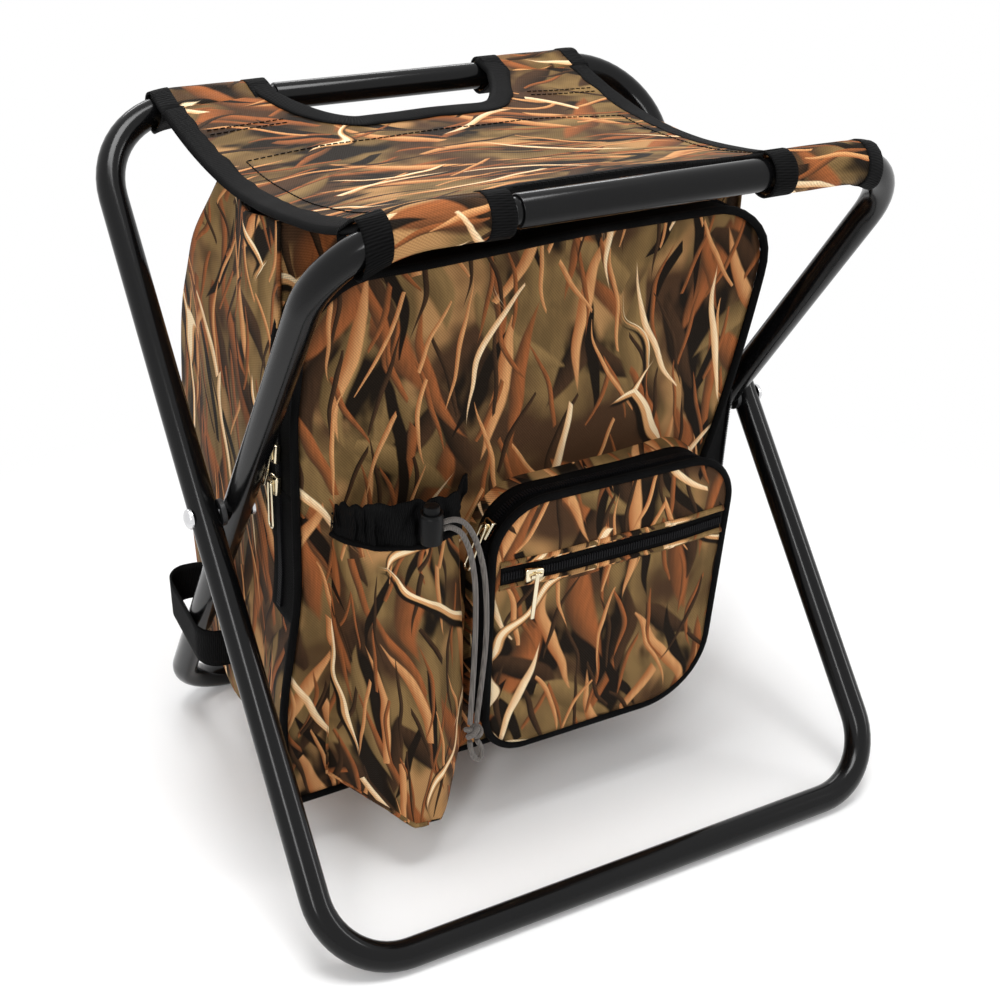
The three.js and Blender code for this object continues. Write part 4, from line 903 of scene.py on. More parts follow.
class STOOL_OT_stage(bpy.types.Operator):
    """Make the camera, the lamps, the world and the floor"""

    bl_idname = "stool.stage"
    bl_label = "Stage"

    def execute(self, context):
        scene = context.scene
        scene.view_settings.view_transform = "Standard"
        data = bpy.data.cameras.new("photo camera")
        data.sensor_fit = "HORIZONTAL"
        data.sensor_width = CAMERA_SENSOR
        data.lens = CAMERA_LENS
        camera = bpy.data.objects.new("photo camera", data)
        camera.location = CAMERA_EYE
        camera.rotation_euler = (math.pi / 2 - CAMERA_ELEVATION, 0, CAMERA_AZIMUTH)
        context.collection.objects.link(camera)
        scene.camera = camera

        bm = bmesh.new()
        bmesh.ops.create_grid(bm, x_segments=1, y_segments=1, size=6)
        floor = make_object("studio_floor", bm, floor_material(list(scene.stool_colours.floor)))

        add_lamp("top softbox", (-0.2, -0.3, 2.3), (0, 0, 0.2), (1.1, 0.8), 36)
        add_lamp("key strip", (-1.5, -1.7, 1.5), (0, 0, 0.2), (0.35, 1.3), 18)
        add_lamp("fill strip", (2.0, -1.1, 1.2), (0, 0, 0.2), (0.35, 1.4), 12)
        add_lamp("back strip", (0.4, 1.9, 1.6), (0, 0, 0.25), (1.6, 0.3), 12)
        world = bpy.data.worlds.new("studio")
        scene.world = world
        world.use_nodes = True
        tree = world.node_tree
        background = tree.nodes["Background"]
        link(tree, spread(tree, seen_ray(tree), 0.55, 1.0), background.inputs["Strength"])
        background.inputs["Color"].default_value = (1, 1, 1, 1)
        return {"FINISHED"}


class STOOL_OT_drawcord(bpy.types.Operator):
    """Make the two cord ends, their knot, the loop past it and the cord lock"""

    bl_idname = "stool.drawcord"
    bl_label = "Drawcord"

    def execute(self, context):
        material = MATERIALS["cord"]
        knot = self.make_knot(material)
        ends = [("drawcord_right_cord", CORD_RIGHT, "drawcord_right", [knot]),
                ("drawcord_left_cord", CORD_LEFT, "drawcord_left", []),
                ("drawcord_loop_cord", CORD_LOOP, "drawcord_end_loop", [])]
        for name, points, node, pieces in ends:
            route = refine(from_mm(points), CORD_STEPS)
            piece = tube_along(name, route, CORD_RADIUS, material, keep_curve=True)
            dress(piece, "bag", "cord", node)
        self.make_lock()
        return {"FINISHED"}

    def make_knot(self, material):
        centre = from_mm([KNOT_PLACE])[0]
        points = []
        for i in range(KNOT_STEPS):
            angle = 2 * math.pi * i / KNOT_STEPS
            swing = 2 + math.cos(3 * angle)
            points.append(centre + Vector((
                1.5 * MM * swing * math.cos(2 * angle),
                1.15 * MM * swing * math.sin(2 * angle),
                2.2 * MM * math.sin(3 * angle),
            )))
        knot = tube_along("drawcord_knot_tied", points, 1.45 * MM, material, closed=True)
        return dress(knot, "bag", "cord", "drawcord_knot")

    def make_lock(self):
        matrix = PANEL_FRAME @ Matrix.Translation((LOCK_PLACE[0], -LOCK_PLACE[1], LOCK_PLACE[2]))
        barrel = [(0, -9), (4.6, -9), (5.6, -8.4), (6, -7.2), (6, 6.8), (5.4, 7.6), (5.4, 8.2), (5.9, 8.6),
                  (5.9, 9), (4.7, 9), (4.6, 1), (0, 1)]
        button = [(0, 4.1), (4.3, 4.1), (4.3, 11.6), (3.9, 12.6), (3.0, 13), (1.2, 12.7), (0, 12.6)]
        body = turned_piece("cord_lock_barrel", [profile_mm(barrel)], matrix, MATERIALS["plastic"])
        dress(body, "bag", "black_plastic", "cord_lock_body", "cord_lock_spring")
        cap = turned_piece("cord_lock_cap", [profile_mm(button)], matrix, MATERIALS["plastic"])
        dress(cap, "lock_button", "black_plastic", "cord_lock_button")


# Tube loops


class TubeBender:
    """Draws a tube out of a ring of edges, run by run, in the plane of X and Z."""

    def __init__(self, bm, start, radius, segments):
        self.bm = bm
        self.place = Vector(start)
        self.heading = Vector((1, 0, 0))
        turn = Matrix.Translation(self.place) @ Matrix.Rotation(math.pi / 2, 4, "Y")
        ring = bmesh.ops.create_circle(bm, segments=segments, radius=radius, matrix=turn, cap_ends=False)
        self.verts = ring["verts"]
        self.edges = list({edge for vert in self.verts for edge in vert.link_edges})

    def take(self, made):
        """Keeps the new ring of what an operation made."""
        self.verts = [item for item in made if isinstance(item, bmesh.types.BMVert)]
        fresh = set(self.verts)
        self.edges = [item for item in made
                      if isinstance(item, bmesh.types.BMEdge) and set(item.verts) <= fresh]

    def straight(self, length):
        self.take(bmesh.ops.extrude_edge_only(self.bm, edges=self.edges)["geom"])
        bmesh.ops.translate(self.bm, verts=self.verts, vec=self.heading * length)
        self.place += self.heading * length

    def bend(self, radius, steps):
        inward = Vector((self.heading.z, 0, -self.heading.x))
        centre = self.place + inward * radius
        self.take(bmesh.ops.spin(self.bm, geom=self.verts + self.edges, cent=centre, axis=(0, 1, 0),
                                 angle=math.pi / 2, steps=steps)["geom_last"])
        self.place = centre + self.heading * radius
        self.heading = inward


class STOOL_OT_loops(bpy.types.Operator):
    """Make the two bent tube loops, their rivets and washers"""

    bl_idname = "stool.loops"
    bl_label = "Tube loops"

    def execute(self, context):
        loops = [("outer_loop", OUTER_LEG_X, -LEAN, "outer_frame", "outer_frame_tube"),
                 ("inner_loop", INNER_LEG_X, LEAN, "inner_frame", "inner_frame_tube")]
        for name, leg_x, lean, body, node in loops:
            matrix = Matrix.Translation(PIVOT) @ Matrix.Rotation(lean, 4, "X")
            piece = self.make_loop(name, leg_x, matrix)
            dress(piece, body, "black_tube", node)
        for side, suffix in ((1, "right"), (-1, "left")):
            self.make_pivot(side, suffix)
        return {"FINISHED"}

    def make_loop(self, name, leg_x, matrix):
        bm = bmesh.new()
        bender = TubeBender(bm, (JOINT_X, 0, TOP_ARM), TUBE_RADIUS, TUBE_SEGMENTS)
        leg = TOP_ARM + FOOT_ARM - TOP_BEND_RADIUS - FOOT_BEND_RADIUS
        bender.straight(leg_x - TOP_BEND_RADIUS - JOINT_X)
        bender.bend(TOP_BEND_RADIUS, BEND_STEPS)
        bender.straight(leg)
        bender.bend(FOOT_BEND_RADIUS, BEND_STEPS)
        bender.straight(2 * (leg_x - FOOT_BEND_RADIUS))
        bender.bend(FOOT_BEND_RADIUS, BEND_STEPS)
        bender.straight(leg)
        bender.bend(TOP_BEND_RADIUS, BEND_STEPS)
        bender.straight(leg_x - TOP_BEND_RADIUS + JOINT_X - JOINT_GAP)
        # The joint: rolled tube ends over a narrower neck
        neck = TubeBender(bm, (JOINT_X - 4 * JOINT_GAP, 0, TOP_ARM), SWAGE_RADIUS, TUBE_SEGMENTS)
        neck.straight(8 * JOINT_GAP)
        bmesh.ops.holes_fill(bm, edges=bm.edges[:], sides=TUBE_SEGMENTS)
        bmesh.ops.recalc_face_normals(bm, faces=bm.faces[:])
        rims = [e for e in bm.edges if e.is_valid and len(e.link_faces) == 2 and e.calc_face_angle(0) > 1.2]
        soften(bm, rims, 0.6 * MM, 2)
        bmesh.ops.transform(bm, matrix=matrix, verts=bm.verts[:])
        piece = make_object(name, bm, MATERIALS["tube"])
        crease(piece, 50)
        return piece

    def make_pivot(self, side, suffix):
        inside = INNER_LEG_X - TUBE_RADIUS - 0.5 * MM
        outside = OUTER_LEG_X + TUBE_RADIUS + 0.4 * MM
        head = [(0, -1), (5.6, -1), (5.6, 0.4), (5.2, 1.2), (4.0, 2.1), (2.2, 2.7), (0, 2.9)]
        tail = [(0, 1), (4.8, 1), (5.2, -0.6), (4.2, -1.8), (2.0, -2.2), (0, -2.2)]
        shank = [(3 * MM, inside), (3 * MM, outside)]
        profiles = [profile_mm(head, outside), profile_mm(tail, inside), shank]
        matrix = Matrix.Translation(PIVOT) @ Matrix.Rotation(side * math.pi / 2, 4, "Y")
        rivet = turned_piece(f"rivet_{suffix}", profiles, matrix, MATERIALS["steel"])
        dress(rivet, "inner_frame", "steel", f"pivot_rivet_{suffix}")
        near = INNER_LEG_X + TUBE_RADIUS - 0.4 * MM
        far = OUTER_LEG_X - TUBE_RADIUS + 0.4 * MM
        ring = [(3.2 * MM, near), (7.2 * MM, near), (7.5 * MM, near + 0.3 * MM), (7.5 * MM, far - 0.3 * MM),
                (7.2 * MM, far), (3.2 * MM, far), (3.2 * MM, near)]
        washer = turned_piece(f"spacer_{suffix}", [ring], matrix, MATERIALS["nylon"])
        dress(washer, "inner_frame", "nylon", f"pivot_washer_{suffix}")


# Sling seat


def bar_drop(leg_x, x):
    past = abs(x) - (leg_x - TOP_BEND_RADIUS)
    return TOP_BEND_RADIUS - math.sqrt(TOP_BEND_RADIUS ** 2 - past ** 2) if past > 0 else 0


def seat_point(x, y):
    """The top of the seat's cloth, which sags and follows its bars round their bends."""
    share = y / TOP_Y
    drop = bar_drop(INNER_LEG_X if y < 0 else OUTER_LEG_X, x) * share ** 2
    sag = SEAT_SAG * (1 - share ** 2) * (0.95 + 0.33 * ((x - SEAT_SHIFT) / SEAT_HALF) ** 2)
    ripple = rumple((x, y, 0.3), 0.045, 1.2 * MM) * (1 - share ** 2)
    height = TOP_Z + SLEEVE_RADIUS - sag - drop * math.cos(LEAN) + ripple
    return Vector((x, y - math.copysign(drop * math.sin(LEAN), y), height))


def hole_depth(x, deepest):
    """How far a hand-hole cuts into the seat's edge at x."""
    reach = abs(x - SEAT_SHIFT)
    if reach >= HOLE_HALF:
        return 0
    if reach <= HOLE_FLAT:
        return deepest
    share = (HOLE_HALF - reach) / (HOLE_HALF - HOLE_FLAT)
    return mix(HOLE_ROOT, deepest, 1 - (1 - share) ** 2)


SEAT_LEFT = SEAT_SHIFT - SEAT_HALF
SEAT_RIGHT = SEAT_SHIFT + SEAT_HALF
SEAT_ROLL = (3.1, 2.2)
SEAT_BLEND = ((0, -TOP_Y, TOP_Z), (0, TOP_Y, TOP_Z))


def seat_column(u):
    """Column positions, with a close pair at each end of the hand-holes."""
    edge = HOLE_HALF - 0.05 * MM
    marks = [(0, -SEAT_HALF), (0.2, -HOLE_HALF), (0.21, -edge),
             (0.79, edge), (0.8, HOLE_HALF), (1, SEAT_HALF)]
    for (u0, x0), (u1, x1) in zip(marks, marks[1:]):
        if u <= u1 + 1e-9:
            return SEAT_SHIFT + mix(x0, x1, (u - u0) / (u1 - u0))
    return SEAT_SHIFT + SEAT_HALF


def hole_route(deepest, bar):
    """The edge of a hand-hole from its left end to its right end, with directions into the cloth."""
    points, directions = [], []
    steps = 60
    for i in range(steps + 1):
        x = SEAT_SHIFT + mix(-HOLE_HALF + 0.1 * MM, HOLE_HALF - 0.1 * MM, i / steps)
        points.append(Vector((x, bar * (TOP_Y - hole_depth(x, deepest)), 0)))
    ends = [Vector((SEAT_SHIFT + side * HOLE_HALF, bar * TOP_Y, 0)) for side in (-1, 1)]
    points = [ends[0], *points, ends[1]]
    for i in range(len(points)):
        along = points[min(i + 1, len(points) - 1)] - points[max(i - 1, 0)]
        directions.append(Vector((along.y, -along.x, 0)).normalized() * bar)
    return Route(points, directions, False)


class STOOL_OT_seat(bpy.types.Operator):
    """Make the sling, its sleeves round the top bars, the binding and the stitching"""

    bl_idname = "stool.seat"
    bl_label = "Seat"

    def execute(self, context):
        sizes = context.scene.stool_sizes

        def sling(u, v):
            x = seat_column(u)
            low = -TOP_Y + hole_depth(x, FRONT_HOLE)
            high = TOP_Y - hole_depth(x, BACK_HOLE)
            y = mix(low, high, v)
            return seat_point(x, y), (y, x)

        seat = cloth("seat_sling", 100, 44, sling, MATERIALS["camouflage"], SEAT_CLOTH, SEAT_ROLL,
                     Vector((0, 0, 0.2)))
        bridge_bodies(seat, ("inner_frame", "outer_frame"), *SEAT_BLEND, "camouflage", "seat_panel")
        self.bind_edges(sizes)
        self.stitch(sizes)
        self.make_sleeves()
        return {"FINISHED"}

    def bind(self, name, route, sizes):
        """A tape folded round an edge of the seat, with a wavy sewn margin."""
        def strip(u, v):
            place, inward = route.at(u * route.length)
            side = 2 * v - 1  # 1 on top of the cloth, 0 at its edge, -1 under it
            wave = rumple((place.x, place.y, 2 + side), 0.011, 1.6 * MM)
            spot = place + inward * mix(-3.2 * MM, sizes.binding + wave, abs(side))
            lift = 0.9 * MM * (1 - 0.7 * side ** 6)
            height = mix(-SEAT_CLOTH - lift, lift, smooth(0.5 + side / 0.3))
            point = seat_point(spot.x, spot.y) + Vector((0, 0, height))
            return point, (u * route.length, side * sizes.binding)

        columns = max(24, int(route.length / (3 * MM)))
        piece = cloth(name, columns, 14, strip, MATERIALS["binding"], 0.5 * MM)
        bridge_bodies(piece, ("inner_frame", "outer_frame"), *SEAT_BLEND, "black_cloth")

    def bind_edges(self, sizes):
        steps = 48
        for x, inward, name in ((SEAT_LEFT, 1, "left"), (SEAT_RIGHT, -1, "right")):
            points = [Vector((x, mix(-TOP_Y, TOP_Y, i / steps), 0)) for i in range(steps + 1)]
            directions = [Vector((inward, 0, 0))] * len(points)
            self.bind(f"seat_binding_{name}", Route(points, directions, False), sizes)
        self.bind("hand_hole_binding_back", hole_route(BACK_HOLE, 1), sizes)
        self.bind("hand_hole_binding_front", hole_route(FRONT_HOLE, -1), sizes)

    def stitch(self, sizes):
        up = Vector((0, 0, 1))

        def line(start, end):
            total = (Vector(end) - Vector(start)).length

            def walk(distance):
                place = Vector(start).lerp(Vector(end), distance / total)
                return seat_point(*place) + Vector((0, 0, 0.3 * MM)), up
            return walk, total

        back, front, side = 52 * MM, -112 * MM, 118 * MM
        lines = [
            line((SEAT_SHIFT - side, back), (SEAT_SHIFT + side, back)),
            line((SEAT_SHIFT - side, front), (SEAT_SHIFT + side, front)),
            line((SEAT_SHIFT - side, front), (SEAT_SHIFT - side, back)),
            line((SEAT_SHIFT + side, front), (SEAT_SHIFT + side, back)),
        ]
        inner, outer = 78 * MM, 124 * MM
        for y in (96 * MM, 91 * MM, -121 * MM):
            for sign in (-1, 1):
                lines.append(line((SEAT_SHIFT + sign * inner, y), (SEAT_SHIFT + sign * outer, y)))
        piece = dashes("seat_stitches", lines, sizes.stitch, gap=1.2 * MM, width=0.55 * MM, height=0.5 * MM,
                       material=MATERIALS["thread"])
        bridge_bodies(piece, ("inner_frame", "outer_frame"), *SEAT_BLEND, "black_cloth")

    def make_sleeves(self):
        top_bars = [("front", -1, INNER_LEG_X, "inner_frame"), ("back", 1, OUTER_LEG_X, "outer_frame")]
        for bar, sign, leg_x, body in top_bars:
            for side, inner, outer in (("left", SEAT_SHIFT - HOLE_HALF, SEAT_LEFT),
                                       ("right", SEAT_SHIFT + HOLE_HALF, SEAT_RIGHT)):
                node = f"seat_sleeve_{bar}_{side}"
                sleeve = self.sleeve(f"sleeve_{bar}_{side}", sign, leg_x, inner, outer, 0, "camouflage", 34)
                dress(sleeve, body, "camouflage", node)
                band = math.copysign(14 * MM, outer - inner)
                for end, near, far in (("inner", inner - 0.1 * band, inner + 0.8 * band),
                                       ("outer", outer - 0.55 * band, outer + 0.25 * band)):
                    cuff = self.sleeve(f"cuff_{bar}_{side}_{end}", sign, leg_x, near, far, 0.6 * MM,
                                       "binding", 8)
                    dress(cuff, body, "black_cloth")

    def sleeve(self, name, sign, leg_x, near, far, swell, material, columns):
        """A tube of cloth round a top bar, drawn out to a lip where it is sewn under the seat."""
        lean = -LEAN * sign

        def wrap(u, v):
            x = mix(near, far, u)
            drop = bar_drop(leg_x, x)
            past = max(0, abs(x) - (leg_x - TOP_BEND_RADIUS))
            slope = math.sqrt(1 - (past / TOP_BEND_RADIUS) ** 2)
            angle = 2 * math.pi * v
            radius = SLEEVE_RADIUS + swell + rumple((x, angle, 1.0), 0.02, 0.35 * MM)
            ring = Vector((0, math.sin(angle), math.cos(angle))) * radius
            # The side towards the seat is drawn out to the seam.
            pull = max(0, -math.sin(angle) * sign)
            ring.y -= sign * (9 * MM) * pull ** 6
            ring.z += (2.0 * MM) * pull ** 6
            centre = PIVOT + Matrix.Rotation(lean, 3, "X") @ Vector((0, 0, TOP_ARM - drop))
            centre.x = x
            # A level cut through the sloping tube is longer than it is wide, and less so below.
            ring.z /= slope if ring.z > 0 else mix(1, slope, 0.5)
            turn = angle - 2 * math.pi if angle > math.pi else angle
            return centre + ring, (sign * TOP_Y + turn * radius, x)

        piece = cloth(name, columns, 32, wrap, MATERIALS[material], 0, roll=SEAT_ROLL)
        thicken(piece, 1.3 * MM, 0)
        return piece


# Bag


def fold_flat(piece):
    """Gives the piece a mesh of its own."""
    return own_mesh(piece)


def bag_back(share):
    y, z = through(BAG_BACK, share)
    return Vector((0, y * MM, z * MM))


def side_x(depth, up, side, sizes):
    """Half the bag's width on one side, at a depth behind the front panel and a height.

    The left edge of the panel stands out, most at its foot. The pocket pulls the right edge in.
    """
    swell = sizes.side_bulge * hump(depth / (230 * MM)) * hump((up + 20 * MM) / (370 * MM))
    if side < 0:
        flare = 5 * MM * smooth((290 * MM - up) / (60 * MM)) + 11 * MM * smooth((150 * MM - up) / (100 * MM))
        return PANEL_HALF + swell + flare * smooth((100 * MM - depth) / (100 * MM))
    below = min(135, max(0, 290 - up / MM))
    pinch = (0.15 * below + 0.0006 * below ** 2) * MM
    return PANEL_HALF + swell - pinch * smooth((22 * MM - depth) / (22 * MM))


def top_tilt(x, up):
    """How far the top of the front panel stands up, a little more to the right."""
    return (1 * MM + 5 * MM * smooth((x + 100 * MM) / (150 * MM))) * smooth((up - 180 * MM) / (120 * MM))


def panel_swell(x, up):
    """The share of its bulge that the front panel has at a height."""
    return hump((up + 12 * MM) / (PANEL_HEIGHT + 24 * MM)) ** 0.7 + rumple((x, 3, up), 0.06, 0.12)


def panel_half(up):
    """Half the front panel's width, rounded off towards its top."""
    rise = up - (PANEL_HEIGHT - PANEL_CORNER)
    if rise <= 0:
        return PANEL_HALF
    return PANEL_HALF - PANEL_CORNER + math.sqrt(max(0, PANEL_CORNER ** 2 - rise ** 2))


def arch_route(foot):
    """Up the left edge of the front panel, over its top and down the right edge to a height."""
    points, directions = [], []
    corner_foot = PANEL_HEIGHT - PANEL_CORNER
    rows, turns, span = 16, 14, 10
    for i in range(rows):
        points.append(Vector((-PANEL_HALF, 0, mix(foot, corner_foot, i / rows))))
        directions.append(Vector((-1, 0, 0)))
    for side, start in ((-1, math.pi), (1, math.pi / 2)):
        for i in range(turns + 1):
            angle = start - math.pi / 2 * i / turns
            outward = Vector((math.cos(angle), 0, math.sin(angle)))
            centre = Vector((side * (PANEL_HALF - PANEL_CORNER), 0, corner_foot))
            points.append(centre + outward * PANEL_CORNER)
            directions.append(outward)
        if side < 0:
            for i in range(1, span):
                x = mix(-1, 1, i / span) * (PANEL_HALF - PANEL_CORNER)
                points.append(Vector((x, 0, PANEL_HEIGHT)))
                directions.append(Vector((0, 0, 1)))
    for i in range(1, rows + 1):
        points.append(Vector((PANEL_HALF, 0, mix(corner_foot, foot, i / rows))))
        directions.append(Vector((1, 0, 0)))
    return Route(points, directions, False)


def on_rim(place, outward, depth, rise, sizes):
    """A point on the bag's front rim: an arch place, moved back by a depth and off the surface by a rise."""
    side = 1 if place.x > 0 else -1
    swell = side_x(depth, place.z, side, sizes) - PANEL_HALF
    height = place.z + top_tilt(place.x, place.z) + outward.z * (0.4 * swell + rise)
    return on_panel(place.x + outward.x * (swell + rise), -depth, height)


class STOOL_OT_bag(bpy.types.Operator):
    """Make the bag's shell, bottom, top and lining"""

    bl_idname = "stool.bag"
    bl_label = "Bag"

    def execute(self, context):
        sizes = context.scene.stool_sizes
        shell = self.shell("bag_shell", 0, sizes, MATERIALS["camouflage"], 2 * MM)
        fold_flat(dress(shell, "bag", "camouflage", "bag_left_side", "bag_right_side", "bag_back_panel"))
        lining = self.shell("bag_lining", 9 * MM, sizes, MATERIALS["lining"], 1 * MM)
        fold_flat(dress(lining, "bag", "foil", "bag_foam", "bag_liner"))
        self.make_floor(sizes)
        self.make_roof()
        return {"FINISHED"}

    def shell(self, name, inset, sizes, material, thickness):
        """A lofted shell: each row runs back along the left side, across the back and forward again."""
        front = 2.3 * MM + inset
        foot = 4 * MM + inset

        def row(v):
            up = mix(foot, BAG_TOP - inset, v)
            back = bag_back(mix(0.01, 1, v))
            return on_panel(0, -front, up), back, up

        def place(u, v):
            start, back, up = row(v)
            run = back - start
            length = run.length - inset
            direction = run.normalized()
            corner = BAG_CORNER
            half = PANEL_HALF - inset
            side = 1 if u > 0.5 else -1
            share = 1 - abs(u - 0.5) * 2
            # share: 0 at the front edge and 1 in the middle of the back
            if share < SIDE_SHARE:
                depth = share / SIDE_SHARE * (length - corner)
                x = side_x(depth, up, side, sizes) - inset + self.gathers(depth, up, side, sizes)
                travel = depth
            elif share < SIDE_SHARE + CORNER_SHARE:
                angle = (share - SIDE_SHARE) / CORNER_SHARE * math.pi / 2
                x = half - corner + corner * math.cos(angle)
                depth = length - corner + corner * math.sin(angle)
                travel = length - corner + corner * angle
                swell = side_x(length - corner, up, side, sizes) - PANEL_HALF
                x += swell * math.cos(angle) + self.gathers(depth, up, side, sizes) * math.cos(angle)
            else:
                x = (half - corner) * (1 - share) / BACK_SHARE
                depth = length + 5 * MM * hump(v) * (1 - (x / half) ** 2)
                depth += rumple((side * x, up, 4), 0.05, sizes.wrinkle) * hump(v)
                travel = length + 10 * MM + (half - corner - x)
            point = start + direction * depth + Vector((side * x, 0, 0))
            point.z = min(point.z, seat_point(point.x, point.y).z - 5 * MM - inset)
            return point, (side * (travel + 0.3), up)

        piece = cloth(name, 128, 56, place, material, 0, (1.3 + inset * 10, 0.4), BAG_CENTRE)
        self.open_mouth(piece, inset)
        bm = bmesh.new()
        bm.from_mesh(piece.data)
        bmesh.ops.solidify(bm, geom=bm.faces[:], thickness=thickness)
        bm.to_mesh(piece.data)
        bm.free()
        piece.data.polygons.foreach_set("use_smooth", [True] * len(piece.data.polygons))
        return piece

    def gathers(self, depth, up, side, sizes):
        """Soft pleats under the seat, and slacker folds lower down."""
        high = smooth((up - 190 * MM) / (130 * MM))
        wave = math.sin(depth / (15 * MM) + 1.4 * math.sin(up / (60 * MM)) + side)
        slack = rumple((depth * 1.4, up * 0.6, 7 + side), 0.05, sizes.wrinkle)
        edge = smooth((depth - 20 * MM) / (40 * MM))
        return edge * (0.9 * sizes.wrinkle * high * wave + slack)

    def open_mouth(self, piece, inset):
        """Cuts away the front of the sides above the flap's hinge. The lining stops farther back."""
        bm = bmesh.new()
        bm.from_mesh(piece.data)
        behind = on_panel(0, -GUSSET_DEPTH - (6 * MM if inset > 0 else 0), 0)
        level = on_panel(0, 0, HINGE_HEIGHT)
        for plane, normal in ((behind, PANEL_OUT), (level, PANEL_UP)):
            geometry = bm.verts[:] + bm.edges[:] + bm.faces[:]
            bmesh.ops.bisect_plane(bm, geom=geometry, plane_co=plane, plane_no=normal)
        gone = [face for face in bm.faces
                if (face.calc_center_median() - behind).dot(PANEL_OUT) > 0
                and (face.calc_center_median() - level).dot(PANEL_UP) > 0]
        bmesh.ops.delete(bm, geom=gone, context="FACES")
        bm.to_mesh(piece.data)
        bm.free()

    def make_floor(self, sizes):
        def place(u, v):
            front = on_panel(0, -2 * MM, 3 * MM)
            back = bag_back(0.012)
            depth = (back - front).length * v
            point = front.lerp(back, v)
            x = mix(1 * MM - side_x(depth, 0, -1, sizes), side_x(depth, 0, 1, sizes) - 1 * MM, u)
            sag = 4 * MM * hump(u) * hump(v) + rumple((x, depth, 9), 0.05, 2 * MM) * hump(u) * hump(v)
            return Vector((x, point.y, point.z - sag)), (x, depth)

        floor = cloth("bag_floor", 40, 18, place, MATERIALS["camouflage"], 2 * MM, (5.2, 1.1), BAG_CENTRE)
        fold_flat(dress(floor, "bag", "camouflage", "bag_bottom_panel"))

    def make_roof(self):
        def place(u, v):
            y = mix(on_panel(0, -GUSSET_DEPTH, 320 * MM).y, 62 * MM, v)
            half = PANEL_HALF - 2 * MM
            x = mix(-half, half, u)
            return Vector((x, y, seat_point(0, y).z - 9 * MM)), (x, y)

        roof = cloth("bag_roof", 20, 10, place, MATERIALS["camouflage"], 1.5 * MM, (6.2, 3.1), BAG_CENTRE)
        fold_flat(dress(roof, "bag", "camouflage", "bag_top_panel"))


LID_BLEND = (on_panel(0, 0, HINGE_HEIGHT - 9 * MM), on_panel(0, 0, HINGE_HEIGHT + 9 * MM))


